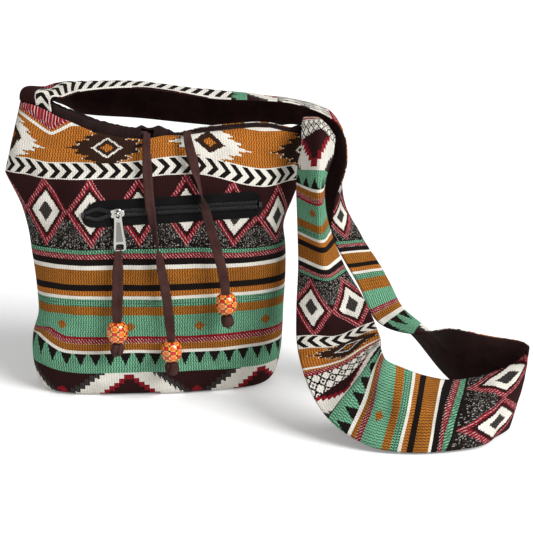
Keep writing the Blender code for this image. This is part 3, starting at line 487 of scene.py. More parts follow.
class Cloth:
    """The woven repeat while it is painted, with its place in millimetres across and up."""

    def __init__(self, tree, place):
        self.tree = tree
        self.place = place
        self.across, up, _ = coordinates(tree, place, 1000.0)
        self.wander = noise_number(tree, place, 15.0, 1.0) - 0.5
        self.up = up + self.wander * 3.4
        self.u = self.across.steps(1.35)
        self.v = self.up.steps(1.15).wrap(REPEAT)
        ramp = tree.nodes.new("ShaderNodeValToRGB")
        ramp.color_ramp.interpolation = "CONSTANT"
        stops = ramp.color_ramp.elements
        stops.remove(stops[1])
        stops[0].position = 0.0
        stops[0].color = (*BANDS[0][1], 1.0)
        for start, colour in BANDS[1:]:
            stops.new(start / REPEAT).color = (*colour, 1.0)
        tree.links.new((self.v / REPEAT).socket, ramp.inputs[0])
        self.look = ramp.outputs[0]

    def lay(self, mask, colour):
        self.look = paint(self.tree, self.look, mask, colour)

    def zigzag(self):
        """A broad stepped white zigzag over red-edged dark triangles."""
        hem = self.v < HEM[1]
        beside = self.u.beside(145.0, -28.8).size()
        climb = self.v + beside.steps(5.4) * 0.80
        self.lay(hem & climb.between(27.0, 52.0), WHITE)
        self.lay(hem & climb.between(22.5, 28.5), RED)
        ragged = self.v + beside * 0.80 + (self.u.wrap(5.4) - 2.7) * 0.9
        self.lay(hem & ragged.between(49.0, 57.0), GREY)
        self.lay(hem & (self.u.beside(145.0, 43.7).size() + (self.v - 6.0).size() * 1.2 < 6.5), RED)

    def small_patterns(self):
        """Hanging dark triangles, slanted dashes, small diamonds and dots."""
        across, up, u, v = self.across, self.up, self.u, self.v
        wedge = u.beside(15.8).size() * 2.2
        self.lay(v.between(*WEDGES) & ((wedge - v) < -36.6), BLACK)
        slant = (across + up * 0.9).wrap(3.5) < 0.95
        dashes = v.between(*DASHES_LOW) | v.between(*DASHES_MIDDLE) | v.between(*DASHES_HIGH)
        self.lay(dashes & slant, DASH)
        self.lay(v.between(*DASHES_GREEN) & slant, DASH_ON_GREEN)
        middle = sum(SMALL_DIAMONDS) / 2 - 0.2
        self.lay(u.beside(73.5, 47.5).size() / 6.4 + (v - middle).size() / 5.2 < 1.0, MUSTARD)
        self.lay(v.between(*DOTS) & (across.wrap(2.7) < 1.25) & (up.wrap(2.6) < 1.3), DOT)

    def tall_diamonds(self):
        """Tall diamonds with striped edges over a speckled ground."""
        speck = self.tree.nodes.new("ShaderNodeTexWhiteNoise")
        speck.noise_dimensions = "2D"
        cells = self.tree.nodes.new("ShaderNodeCombineXYZ")
        self.tree.links.new(self.across.steps(1.0).socket, cells.inputs[0])
        self.tree.links.new(self.up.steps(1.0).socket, cells.inputs[1])
        self.tree.links.new(cells.outputs[0], speck.inputs["Vector"])
        chance = Number(self.tree, speck.outputs["Value"])
        zone = self.v.between(*DIAMONDS)
        ground = zone & (self.v < 195.0)
        self.lay(ground & (chance > 0.80), SPECK)
        self.lay(ground & (chance < 0.42), BLACK)
        self.lay(self.v.between(163.0, 172.0) & (chance < 0.75), BLACK)
        ring = self.u.beside(49.6, -14.6).size() / 24.5 + (self.v - 204.0).size() / 37.0
        stripes = (self.across * 0.9 + self.up * 0.55).wrap(3.3) < 0.9
        self.lay(zone & (ring < 1.05), RED)
        self.lay(zone & ring.between(0.83, 1.05) & stripes, STRIPE)
        for edge, colour in ((0.80, MAROON), (0.64, WHITE), (0.32, GREY)):
            self.lay(zone & (ring < edge), colour)

    def chevrons(self):
        arrow = (self.across + (self.up.wrap(REPEAT) - sum(CHEVRONS) / 2).size()).wrap(12.6) < 6.1
        self.lay(self.v.between(*CHEVRONS) & arrow, BLACK)

    def lozenges(self):
        """Lozenges with toothed ends on orange, dark and white by turns."""
        tooth = (self.v.beside(5.4, 272.0).size() * -4.2) + 11.0
        stand = (self.v - 272.0).size()
        zone = self.v.between(*FIELD) & (stand < 19.5)
        slope = stand * -1.62 + 32.0
        for middle, body, outline, core in ((-47.0, BROWN, WHITE, 0.80), (60.5, WHITE, BROWN, 1.0)):
            aside = self.u.beside(215.0, middle).size()
            reach = slope + tooth
            inner = aside / 16.0 + stand / 10.5
            self.lay(zone & (aside < reach + 0.9), outline)
            self.lay(zone & (aside < reach), body)
            self.lay(zone & inner.between(0.80, 1.0), outline)
            self.lay(zone & (inner < core), BROWN)
            self.lay(zone & (inner < 0.42), ORANGE)

    def lattice(self):
        """Nested squares and crosses."""
        nest = self.across.steps(0.8).beside(10.6).size() + (self.v - 314.0).beside(10.6).size()
        self.lay((self.v > 304.5) & (nest.between(0.0, 1.7) | nest.between(3.5, 5.9)), BLACK)

    def ribs(self):
        """The weave's ribs, darker where the warp shows, and painted shade among the fine threads, all as colour, and
        their height and roughness.
        """
        lift = (self.up / 2.3).math("FLOOR").wrap(2.0)
        warp = (self.across + self.wander * 8.0 + lift * 0.62).wrap(2.7)
        uneven = noise_number(self.tree, self.place, 900.0, 2.0)
        rib = (warp - 1.35).size() / 1.35
        gap = ((rib > 0.56) & (uneven > 0.34)) | ((self.up.wrap(2.3) < 0.62) & (uneven > 0.52))
        bright = self.tree.nodes.new("ShaderNodeRGBToBW")
        self.tree.links.new(self.look, bright.inputs[0])
        pale = Number(self.tree, bright.outputs[0]) > 0.60
        self.lay(gap & ((pale * -0.86 + 1.0) * 0.74), WARP)
        fine = noise_number(self.tree, self.place, 2600.0, 2.0)
        # Painted shade: fine dark flecks among the threads, weaker on pale colours
        self.lay((fine > 0.56) & ((pale * -0.7 + 1.0) * 0.42), PAINTED_THREAD_SHADE)
        patch = noise_number(self.tree, self.place, 35.0, 3.0)
        self.lay(((patch - 0.45) * 0.9).math("MAXIMUM", 0.0), WEAR)
        height = (rib * -0.8 + 0.8) + (self.up.wrap(1.25) - 0.62).size() * 0.5 + fine * 0.5
        return height, fine * 0.2 + 0.8


def jacquard_group():
    """The woven repeat: colour, rib height and roughness from the cloth's own place in metres."""
    tree, given, result = new_group(
        "jacquard_repeat",
        [("Place", "NodeSocketVector")],
        [("Color", "NodeSocketColor"), ("Height", "NodeSocketFloat"), ("Sheen", "NodeSocketFloat")],
    )
    cloth = Cloth(tree, given.outputs["Place"])
    cloth.zigzag()
    cloth.small_patterns()
    cloth.tall_diamonds()
    cloth.chevrons()
    cloth.lozenges()
    cloth.lattice()
    height, rough = cloth.ribs()
    tree.links.new(cloth.look, result.inputs["Color"])
    tree.links.new(height.socket, result.inputs["Height"])
    tree.links.new(rough.socket, result.inputs["Sheen"])
    return tree


def bump(tree, shader, height, distance, strength):
    """A bump from a height, into a shader's normal."""
    node = tree.nodes.new("ShaderNodeBump")
    node.inputs["Distance"].default_value = distance
    node.inputs["Strength"].default_value = strength
    tree.links.new(height.socket if isinstance(height, Number) else height, node.inputs["Height"])
    tree.links.new(node.outputs[0], shader.inputs["Normal"])


def chart_of(tree):
    """The cloth's own place, from its chart."""
    chart = tree.nodes.new("ShaderNodeUVMap")
    chart.uv_map = CHART
    return chart.outputs[0]


def shader_of(name, **values):
    """A new material, its node tree and its shader."""
    made = material(name, **values)
    return made, made.node_tree, made.node_tree.nodes["Principled BSDF"]


def jacquard_material(name, group):
    made, tree, shader = shader_of(name)
    shader.inputs["Specular IOR Level"].default_value = 0.08
    node = tree.nodes.new("ShaderNodeGroup")
    node.node_tree = group
    tree.links.new(chart_of(tree), node.inputs["Place"])
    tree.links.new(node.outputs["Color"], shader.inputs["Base Color"])
    tree.links.new(node.outputs["Sheen"], shader.inputs["Roughness"])
    bump(tree, shader, node.outputs["Height"], 0.0007, 0.75)
    return made


def cotton_group():
    """Plain brown cotton: soft mottling and a fine thread."""
    tree, given, result = new_group(
        "plain_cotton",
        [("Place", "NodeSocketVector"), ("Dark", "NodeSocketColor"), ("Light", "NodeSocketColor")],
        [("Color", "NodeSocketColor"), ("Height", "NodeSocketFloat")],
    )
    place = given.outputs["Place"]
    x, y, z = coordinates(tree, place, 1000.0)
    mottle = noise_number(tree, place, 60.0, 4.0)
    thread = noise_number(tree, place, 1500.0, 2.0)
    grid = ((x + z * 0.3).wrap(0.9) - 0.45).size() + ((z + y).wrap(0.9) - 0.45).size()
    mask = (mottle * 1.3 - 0.35 + (thread - 0.5) * 0.8).math("ADD", 0.0, clamp=True)
    tree.links.new(paint(tree, given.outputs["Dark"], mask, given.outputs["Light"]), result.inputs["Color"])
    tree.links.new((grid + thread * 0.7).socket, result.inputs["Height"])
    return tree


def cotton_material(name, group, dark, light, distance=0.0003):
    made, tree, shader = shader_of(name, roughness=0.92)
    shader.inputs["Specular IOR Level"].default_value = 0.10
    shader.inputs["Sheen Weight"].default_value = 0.03
    node = tree.nodes.new("ShaderNodeGroup")
    node.node_tree = group
    node.inputs["Dark"].default_value = (*dark, 1.0)
    node.inputs["Light"].default_value = (*light, 1.0)
    where = tree.nodes.new("ShaderNodeTexCoord")
    tree.links.new(where.outputs["Object"], node.inputs["Place"])
    tree.links.new(node.outputs["Color"], shader.inputs["Base Color"])
    bump(tree, shader, node.outputs["Height"], distance, 0.7)
    return made


def metal_material(name, bright, smoothness):
    made, tree, shader = shader_of(name, metallic=1.0)
    where = tree.nodes.new("ShaderNodeTexCoord")
    scuff = noise_number(tree, where.outputs["Object"], 700.0, 3.0)
    tree.links.new((scuff * 0.22 + smoothness).socket, shader.inputs["Roughness"])
    # Painted dark reflection: the base colour turns dark grey where the metal turns away from the view
    facing = tree.nodes.new("ShaderNodeLayerWeight")
    facing.inputs["Blend"].default_value = 0.35
    edge = Number(tree, facing.outputs["Facing"])
    face = screen(bright, bright - 2, bright - 8)
    look = paint(tree, face, (edge * 1.6).math("MINIMUM", 1.0), screen(58, 56, 54))
    tree.links.new(look, shader.inputs["Base Color"])
    bump(tree, shader, scuff, 0.00004, 0.4)
    return made


def bead_material():
    """Painted wood: a net of yellow lines over red and orange fields, with dark dots where the lines cross."""
    made, tree, shader = shader_of("painted_bead", roughness=0.22)
    shader.inputs["Coat Weight"].default_value = 0.6
    shader.inputs["Coat Roughness"].default_value = 0.08
    place = chart_of(tree)
    round_about, up, _ = coordinates(tree, place)
    wobble = noise_number(tree, place, 9.0, 2.0) - 0.5
    u = round_about * 9.0 + wobble * 0.30
    v = up * 4.0 + 0.5 + wobble * 0.24
    cell = (u.math("FLOOR") + v.math("FLOOR")).wrap(2.0)
    du = u.beside(1.0).size()
    dv = v.beside(1.0).size()
    look = paint(tree, screen(186, 24, 16), cell > 0.5, screen(226, 104, 34))
    look = paint(tree, look, (du < 0.085) | (dv < 0.075), screen(240, 190, 76))
    look = paint(tree, look, (du * du + dv * dv) < 0.030, screen(30, 18, 14))
    tree.links.new(look, shader.inputs["Base Color"])
    return made


def made_object(name, mesh, look, body="bag"):
    """A piece from its mesh, smooth, in one material and on one body."""
    item = bpy.data.objects.new(name, mesh)
    bpy.context.scene.collection.objects.link(item)
    mesh.materials.clear()
    mesh.materials.append(look)
    mesh.shade_smooth()
    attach(item, body)
    return item


def stand_in(item, node):
    """Have a piece take the place of a CAD node, which is hidden."""
    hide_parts(node)
    return item


def mesh_of(bm, name):
    mesh = bpy.data.meshes.new(name)
    bm.to_mesh(mesh)
    bm.free()
    return mesh


def strip(bm, layer, low, high, low_chart, high_chart, left_out=None):
    """Faces between two rows of corners. A chart one longer than its row closes the row on itself."""
    for index in range(len(low_chart) - 1):
        after = (index + 1) % len(low)
        corners = (low[index], low[after], high[after], high[index])
        if left_out and left_out(index, corners):
            continue
        places = (low_chart[index], low_chart[index + 1], high_chart[index + 1], high_chart[index])
        for loop, place in zip(bm.faces.new(corners).loops, places):
            loop[layer].uv = place


def charted():
    """An empty mesh to build in, with its chart's layer."""
    bm = bmesh.new()
    return bm, bm.loops.layers.uv.new(CHART)


def corners_of(bm, rows):
    return [[bm.verts.new(point) for point in row] for row in rows]


def cloth_mesh(name, rows, charts, closed=False):
    """A grid of points as a mesh, with the cloth's own place of each point as its chart."""
    bm, layer = charted()
    if closed:
        charts = [[*chart, chart[0]] for chart in charts]
    made = corners_of(bm, rows)
    for low, high, low_chart, high_chart in zip(made, made[1:], charts, charts[1:]):
        strip(bm, layer, low, high, low_chart, high_chart)
    return mesh_of(bm, name)


def thicken(item, thickness, offset=0.0):
    """Give a skin its cloth's thickness."""
    wall = item.modifiers.new("Wall", "SOLIDIFY")
    wall.thickness = thickness
    wall.offset = offset
    return item


def cloth_shift(x, z):
    """How far the bands droop: at the top right, in the left middle, at the shoulder and below the fold."""
    droop = 0.0137 * ease((x - 0.04) / 0.08) * ease((z - 0.12) / 0.10)
    sag = 0.0035 * window(x, -0.135, 0.03, -0.03, 0.05) * ease((z - 0.20) / 0.03)
    shoulder = 0.010 * ease((z - 0.262) / 0.022) * (1 - abs(min(max((x + 0.103) / 0.020, -1.9), 1.0)))
    low = ease((FOLD_Z + 0.55 * (x - FOLD_X) - z) / 0.010) * ease((0.090 + x) / -0.045)
    return droop + sag + shoulder - low * (0.004 + 0.012 * ease((z - 0.02) / 0.05))


def panel(name, front, look):
    """The front or the back wall. The front carries the flat base, and both are charted from their middle."""
    columns = up_rows = 150
    base_rows = 15
    sign = -1 if front else 1
    first = 0.5 if front else 0.0
    angles = [spread(first + index / columns / 2) for index in range(columns + 1)]
    rows = []
    charts = []
    if front:
        nears = [body_point(angle, 0.0) for angle in angles]
        fars = [body_point(2 * pi - angle, 0.0) for angle in angles]
        for step in range(base_rows, 0, -1):
            rows.append([near.lerp(far, step / base_rows) for near, far in zip(nears, fars)])
            charts.append([(point.x, -(point - near).length) for point, near in zip(rows[-1], nears)])
    start = 0.0 if front else 0.12
    for index in range(up_rows + 1):
        level = start + (TOP - start) * index / up_rows
        row = []
        for angle in angles:
            point = body_point(angle, level)
            tip = 1 - ease(abs(sin(angle)) / 0.15)
            point.y += sign * (0.00075 * tip + (1 - tip) * folds(point.x, point.z, front))
            row.append(point)
        middle = min(range(len(row)), key=lambda place: abs(row[place].x))
        walk = lengths_along(row)
        chart = []
        for side, point in zip(walk, row):
            up = point.z + cloth_shift(point.x, point.z)
            place = row[middle].x - sign * (side - walk[middle])
            chart.append((place, min(up, 0.3030) if point.x < -0.05 else up))
        charts.append(chart)
        rows.append(row)
    item = made_object(name, cloth_mesh(name, rows, charts), look)
    return thicken(item, CLOTH)


def lining_shell(look):
    """The bag's lining: a floor and a wall in one, a little inside the cloth."""
    columns = 144
    up_rows = 60
    angles = [spread(index / columns) for index in range(columns)]
    middle = Vector((0.0, 0.0, LINING_INSET + CLOTH / 2))
    rows = []
    for part in (0.02, 0.35, 0.7):
        rows.append([middle.lerp(body_point(angle, 0.0, LINING_INSET), part) for angle in angles])
    for index in range(up_rows + 1):
        row = []
        for angle in angles:
            point = body_point(angle, TOP * index / up_rows, LINING_INSET)
            slack = 0.0009 * (1 - ease((point.z - 0.24) / 0.03))
            point.y += slack * ripple(point.x, point.y, point.z, 0.030, 4.0)
            row.append(point)
        rows.append(row)
    charts = [[(point.x, point.z) for point in row] for row in rows]
    mesh = cloth_mesh("lining_shell", rows, charts, closed=True)
    bm = bmesh.new()
    bm.from_mesh(mesh)
    rim = [edge for edge in bm.edges if edge.is_boundary and max(vert.co.z for vert in edge.verts) < 0.02]
    bmesh.ops.holes_fill(bm, edges=rim)
    bm.to_mesh(mesh)
    bm.free()
    return thicken(made_object("lining_shell", mesh, look), LINING)


def wall_place(x, z, inset=0.0):
    """The point of the front wall at a place across and a height."""
    level_low, level_high = 0.0, float(TOP)
    for _ in range(20):
        level = (level_low + level_high) / 2
        angle_low, angle_high = pi, 2 * pi
        for _ in range(20):
            angle = (angle_low + angle_high) / 2
            if body_point(angle, level, inset).x < x:
                angle_low = angle
            else:
                angle_high = angle
        if body_point(angle, level, inset).z < z:
            level_low = level
        else:
            level_high = level
    return body_point(angle, level, inset)


def zip_along():
    return Vector((1, ZIP_SLOPE_BACK, ZIP_SLOPE_UP)).normalized()


def zip_out():
    return zip_along().cross(Vector((0, 0, 1))).normalized()


def zip_up():
    return zip_out().cross(zip_along())


def zip_frame(x, up=0.0, out=0.0):
    """A point beside the zip's line, up the wall and out from the cloth's outer face."""
    along = x - ZIP_MIDDLE.x
    line = ZIP_MIDDLE + Vector((along, ZIP_SLOPE_BACK * along, ZIP_SLOPE_UP * along))
    line.z += CLOTH / 2
    return line + Vector((0, 0, up)) + zip_out() * (CLOTH / 2 + out)


def on_slider(along, up, out):
    """A point beside the slider's place on the zip's line."""
    return zip_frame(SLIDER_X) + zip_along() * along + zip_up() * up + zip_out() * out


def mirrored(side):
    """An outline from its right half, which runs down."""
    return side + [(-along, up) for along, up in reversed(side)]


def soften(item, width):
    """Rounded edges."""
    soft = item.modifiers.new("Soft", "BEVEL")
    soft.width = width
    soft.segments = 3
    soft.limit_method = "ANGLE"


def slab(name, outline, depth, look, body, bevel=0.0):
    """A flat piece by the slider, from an outline in pairs along and up, with soft edges."""
    bm = bmesh.new()
    near, far = depth
    face = bm.faces.new([bm.verts.new(on_slider(along, up, near)) for along, up in outline])
    made = bmesh.ops.extrude_face_region(bm, geom=[face])
    lifted = [item for item in made["geom"] if isinstance(item, bmesh.types.BMVert)]
    bmesh.ops.translate(bm, vec=zip_out() * (far - near), verts=lifted)
    bmesh.ops.recalc_face_normals(bm, faces=bm.faces)
    mesh = mesh_of(bm, name)
    item = made_object(name, mesh, look, body)
    mesh.set_sharp_from_angle(angle=radians(35))
    if bevel:
        soften(item, bevel)
    return item


def sweep_mesh(name, centres, sections, closed=False):
    """A closed skin through rings of points."""
    bm, layer = charted()
    rings = corners_of(bm, sections)
    lengths = lengths_along(centres)
    pairs = list(zip(rings, rings[1:], lengths, lengths[1:]))
    if closed:
        pairs.append((rings[-1], rings[0], lengths[-1], lengths[-1] + (centres[0] - centres[-1]).length))
    for low, high, start, stop in pairs:
        low_chart, high_chart = ([(index * 0.001, at) for index in range(len(low) + 1)] for at in (start, stop))
        strip(bm, layer, low, high, low_chart, high_chart)
    if not closed:
        bm.faces.new(list(reversed(rings[0])))
        bm.faces.new(rings[-1])
    bmesh.ops.recalc_face_normals(bm, faces=bm.faces)
    if bm.calc_volume(signed=True) < 0:
        bmesh.ops.reverse_faces(bm, faces=bm.faces)
    return mesh_of(bm, name)


def even_route(points, step):
    """Points a step apart on a smooth curve through chosen points."""
    fine = [Vector(smooth(points, index / 24)) for index in range(24 * (len(points) - 1) + 1)]
    lengths = lengths_along(fine)
    count = max(2, round(lengths[-1] / step))
    out = []
    index = 0
    for number in range(count + 1):
        want = lengths[-1] * number / count
        while index < len(fine) - 2 and lengths[index + 1] < want:
            index += 1
        part = (want - lengths[index]) / (lengths[index + 1] - lengths[index])
        out.append(fine[index].lerp(fine[index + 1], min(max(part, 0.0), 1.0)))
    return out


def tape_ring(centre, along, face, width, thick, fold):
    """The outline of a folded tape: rounded edges and a shallow groove where its halves meet."""
    side = along.cross(face).normalized()
    half = width / 2
    shape = [(-1, 0), (-0.90, 0.85), (-0.45, 1), (0, 1 - fold), (0.45, 1)]
    shape += [(0.90, 0.85), (1, 0), (0.90, -0.85), (0, -1), (-0.90, -0.85)]
    return [centre + side * half * across + face * thick * out for across, out in shape]


def tape_cord(name, points, turns, widths, body, look, thick=0.0009):
    """A folded cloth tape along points. Turns and widths are pairs of a share of the length and a value."""
    route = even_route(points, 0.0015)
    rings = []
    for index, centre in enumerate(route):
        before = route[max(index - 1, 0)]
        after = route[min(index + 1, len(route) - 1)]
        along = (after - before).normalized()
        part = index / (len(route) - 1)
        out = Vector((0.10, -1.0, 0.0))
        out = (out - along * out.dot(along)).normalized()
        if abs(along.y) > 0.8:
            out = (Vector((0, 0, 1)) - along * along.z).normalized()
        angle = radians(read(turns, part)) + 0.10 * ripple(part * 10, 0, 0, 1.0, len(name))
        face = (Matrix.Rotation(angle, 3, along) @ out).normalized()
        width = read(widths, part) * (1 + 0.06 * ripple(part * 22, 0, 0, 1.0, 3.0 + len(name)))
        swell = 1 + 0.25 * ripple(part * 40, 1, 0, 1.0, 7.0)
        rings.append(tape_ring(centre, along, face, width, thick * swell, 0.75))
    item = made_object(name, sweep_mesh(name, route, rings), look, body)
    round_off(item, 2)
    return item, route


def read(pairs, part):
    """A value from pairs of a share and a value, eased between them."""
    for (low, first), (high, second) in zip(pairs, pairs[1:]):
        if part <= high:
            return first + (second - first) * ease((part - low) / (high - low))
    return pairs[-1][1]


def upright(end, axis, spun):
    """The placing that turns a shape on the z axis to a cord's end."""
    lean = Vector((0, 0, 1)).rotation_difference(axis).to_matrix().to_4x4()
    return Matrix.Translation(end) @ lean @ Matrix.Rotation(spun, 4, "Z")


def circle(count):
    """Cosines and sines round a circle."""
    return [(cos(2 * pi * step / count), sin(2 * pi * step / count)) for step in range(count)]


def round_off(item, levels):
    """Smooth a piece by subdivision, more in the render than in the view."""
    smoother = item.modifiers.new("Round", "SUBSURF")
    smoother.levels = 1
    smoother.render_levels = levels


def cord_end(points):
    """The end of a cord and the way up along it."""
    end = Vector(points[-1])
    return end, (Vector(points[-2]) - end).normalized()


def bead(name, points, body, look, replaced, spun):
    """A turned bead with rounded shoulders and a lipped bore, painted all round."""
    end, axis = cord_end(points)
    half = BEAD_HEIGHT / 2
    lip = 0.0005
    profile = [(BEAD_BORE, lip - half), (BEAD_BORE + lip, -half)]
    for step in range(25):
        angle = radians(-72 + 6 * step)
        reach = BEAD_RADIUS * (0.42 + 0.58 * cos(angle) ** 0.9)
        profile.append((reach, half * sin(angle) / sin(radians(73))))
    profile += [(BEAD_BORE + lip, half), (BEAD_BORE, half - lip)]
    turn = upright(end + axis * (half + CLEARANCE), axis, spun)
    count = 64
    bm, layer = charted()
    rings = corners_of(bm, [[turn @ Vector((radius * x, radius * y, height)) for x, y in circle(count)]
                            for radius, height in profile])
    charts = [[(index / count, (height + half) / BEAD_HEIGHT) for index in range(count + 1)] for _, height in profile]
    for ring in range(len(rings)):
        above = (ring + 1) % len(rings)
        strip(bm, layer, rings[ring], rings[above], charts[ring], charts[above])
    bmesh.ops.recalc_face_normals(bm, faces=bm.faces)
    return stand_in(made_object(name, mesh_of(bm, name), look, body), replaced)


def knot(name, points, body, look, replaced, spun, size):
    """A knot of folded tape: one strand wound through itself, with two short ends."""
    end, axis = cord_end(points)
    place = upright(end, axis, spun)
    count = 96
    drop = 0.0076
    route = []
    for index in range(count):
        turn = 2 * pi * index / count
        x = (sin(turn) + 2 * sin(2 * turn)) * 0.00130 * size
        y = (cos(turn) - 2 * cos(2 * turn)) * 0.00118 * size
        route.append(Vector((x, y, -sin(3 * turn) * 0.0030 * size - drop)))
    rings = []
    for index, centre in enumerate(route):
        along = (route[(index + 1) % count] - route[index - 1]).normalized()
        away = Vector((centre.x, centre.y, 0.6 * (centre.z + drop)))
        away = (away - along * away.dot(along)).normalized()
        side = along.cross(away)
        ring = []
        for step, (x, y) in enumerate(circle(10)):
            pinch = 1 + 0.14 * sin(6 * pi * step / 10 + 6 * pi * index / count)
            ring.append(place @ (centre + (side * x * 0.0038 + away * y * 0.0022) * pinch * size))
        rings.append(ring)
    mesh = sweep_mesh(name, [place @ point for point in route], rings, closed=True)
    item = made_object(name, mesh, look, body)
    for number, (lean, spin) in enumerate(((0.0026, 0.4), (-0.0024, 2.2))):
        stub = []
        centres = []
        for part in (step / 6 for step in range(7)):
            centre = Vector((lean * (0.6 + part), 0.0008 * sin(spin), -0.0090 - 0.0062 * part))
            face = Vector((sin(spin + part), -cos(spin + part), 0.0))
            ring = tape_ring(centre, Vector((0, 0, -1)), face, 0.0066 * size, 0.0012, 0.6)
            centres.append(place @ centre)
            stub.append([place @ point for point in ring])
        label = f"{name}_tail_{number}"
        tail = made_object(label, sweep_mesh(label, centres, stub), look, body)
        tail.parent = item
        round_off(tail, 2)
    round_off(item, 1)
    return stand_in(item, replaced)


def casing_point(angle):
    """The drawstring's line inside the hem, which is sunk on the right."""
    point = body_point(angle, TOP, CASING_INSET)
    point.z += 4 * CLEARANCE + CASING_RADIUS - 0.0088 * window(point.x, 0.004, 0.022, 0.140, 0.02)
    return point


def casing_angle(x):
    """The angle at which the casing's front passes a place across."""
    low, high = pi, 2 * pi
    for _ in range(40):
        middle = (low + high) / 2
        if casing_point(middle).x < x:
            low = middle
        else:
            high = middle
    return low


def even_turns(count):
    """Angles that set points an even way apart round the casing."""
    fine = [2 * pi * index / 2000 for index in range(2001)]
    lengths = lengths_along([casing_point(angle) for angle in fine])
    turns = []
    index = 0
    for number in range(count):
        want = lengths[-1] * number / count
        while lengths[index] < want:
            index += 1
        turns.append(fine[index])
    return turns, lengths[-1]


# The hem's cross-section, as pairs outward and up from the drawstring's line, in parts of its radius
HEM_SHAPE = [
    (1.14, -2.6), (1.12, -1.7), (1.10, -0.95), (1.02, -0.30), (0.93, 0.25), (0.70, 0.70),
    (0.30, 0.96), (-0.12, 0.98), (-0.60, 0.78), (-0.92, 0.36), (-0.98, -0.15), (-0.72, -0.66),
    (-0.20, -0.95), (0.35, -1.10), (0.74, -1.65), (0.84, -2.5),
]
# Where the hem bunches up at the front: place across, width and amount
TUFTS = ((-0.0110, 0.0055, 0.75), (0.0075, 0.006, 0.25), (0.048, 0.008, 0.15))


def mouth_hem(look):
    """The gathered hem round the mouth, with two gaps that let the drawstring out."""
    turns, total = even_turns(560)
    rows = []
    charts = []
    for number, angle in enumerate(turns):
        centre = casing_point(angle)
        along = (casing_point(angle + 0.02) - casing_point(angle - 0.02)).normalized()
        out = along.cross(Vector((0, 0, 1))).normalized()
        arc = total * number / len(turns)
        tuft = sum(amount * bell(centre.x, x, width) for x, width, amount in TUFTS) if sin(angle) < 0 else 0.0
        swell = 0.95 + 0.24 * ripple(arc, 0, 0, 0.0042, 11.0) + 0.12 * ripple(arc, 3, 0, 0.021, 5.0) + tuft
        row = []
        for step, (side, rise) in enumerate(HEM_SHAPE):
            share = swell if rise > -1.3 else 1.0
            crumple = 1 + 0.10 * ripple(arc, step * 0.002, 0, 0.0035, 2.0)
            reach = CASING_RADIUS * (0.35 + 0.65 * share * crumple)
            row.append(centre + out * side * reach + Vector((0, 0, rise * CASING_RADIUS * share)))
        rows.append(row)
        charts.append([(arc, step * 0.0018) for step in range(len(HEM_SHAPE))])
    exits = [casing_point(casing_angle(x)) for x in (EXIT_LEFT_X, EXIT_RIGHT_X)]

    def at_exit(step, corners):
        middle = sum((vert.co for vert in corners), Vector()) / 4
        return 1 <= step <= 4 and any(abs(middle.x - exit.x) < HEM_GAP and middle.y < exit.y for exit in exits)

    bm, layer = charted()
    made = corners_of(bm, rows)
    for number in range(len(made)):
        after = (number + 1) % len(made)
        strip(bm, layer, made[after], made[number], charts[after], charts[number], at_exit)
    return thicken(made_object("mouth_hem", mesh_of(bm, "mouth_hem"), look), 0.0007, -1.0)


def strap_fine():
    """The strap's stations read finely, with the length along the crease at each."""
    flat = [(*crease, *to_a, *to_b, gather) for crease, to_a, to_b, gather in STRAP]
    fine = []
    length = 0.0
    before = None
    for index in range(16 * (len(flat) - 1) + 1):
        values = smooth(flat, index / 16)
        crease = Vector(values[:3])
        to_a = Vector(values[3:6]).normalized()
        to_b = Vector(values[6:9]).normalized()
        if before is not None:
            length += (crease - before).length
        before = crease
        fine.append((length, crease, to_a, to_b, values[9]))
    return fine


def strap_values(fine, length):
    """The crease, the two ways and the gather at a length along the strap."""
    low = 0
    high = len(fine) - 1
    while high - low > 1:
        middle = (low + high) // 2
        if fine[middle][0] <= length:
            low = middle
        else:
            high = middle
    part = (length - fine[low][0]) / (fine[high][0] - fine[low][0])
    crease = fine[low][1].lerp(fine[high][1], part)
    to_a = fine[low][2].lerp(fine[high][2], part).normalized()
    to_b = fine[low][3].lerp(fine[high][3], part).normalized()
    gather = fine[low][4] + (fine[high][4] - fine[low][4]) * part
    return crease, to_a, to_b, gather


def rim_walk(seam_angle, to_front, distance):
    """A point of the rim at a distance from a side seam, along the front or the back."""
    sign = 1 if (seam_angle > 1) == to_front else -1
    angle = seam_angle
    point = body_point(angle, TOP)
    walked = 0.0
    while True:
        angle += sign * 0.01
        after = body_point(angle, TOP)
        step = (after - point).length
        if walked + step >= distance:
            return point.lerp(after, (distance - walked) / step)
        walked += step
        point = after


def strap_row(fine, length, across):
    """One row of the strap's middle surface, from its A edge to its B edge."""
    total = fine[-1][0]
    crease, to_a, to_b, gather = strap_values(fine, length)
    ends = (
        (pi, length, STRAP_BLEND_LEFT, 1.0, 0.75),
        (0.0, total - length, STRAP_BLEND_RIGHT, STRAP_GATHER_RIGHT, 0.0),
    )
    row = []
    for place in across:
        toward_b = 0.5 * (place + hypot(place, STRAP_CREASE)) - STRAP_CREASE / 2
        toward_a = toward_b - place
        point = crease + (to_a * toward_a + to_b * toward_b) * gather
        for seam_angle, from_end, blend, held, flare in ends:
            if from_end < blend:
                root = rim_walk(seam_angle, place < 0, abs(place) * held)
                root.z += STRAP_LIFT + from_end * (1 - flare * max(place, 0.0) / STRAP_HALF)
                point = point.lerp(root, 1 - ease(from_end / blend))
        row.append(point)
    return row


def cloth_on_strap(length, place):
    """The woven cloth's own place at a point of the strap's long piece."""
    rows = STRAP_CLOTH
    for (low, low_a, low_b), (high, high_a, high_b) in zip(rows, rows[1:]):
        if length <= high:
            part = (length - low) / (high - low)
            at_a = low_a + (high_a - low_a) * part
            at_b = low_b + (high_b - low_b) * part
            share = (place / STRAP_HALF + 1) / 2
            return place + STRAP_CLOTH_SIDE, at_a + (at_b - at_a) * share
    return place + STRAP_CLOTH_SIDE, rows[-1][1]


def cloth_on_end(length, place):
    """The same for the short piece, whose bands run along the strap."""
    near = place + STRAP_HALF
    shown = 0.010 + 0.020 * ease(length / 0.07)
    if near < shown:
        return length, 0.2405 + 0.008 * near / shown
    return length, 0.2485 - (near - shown)


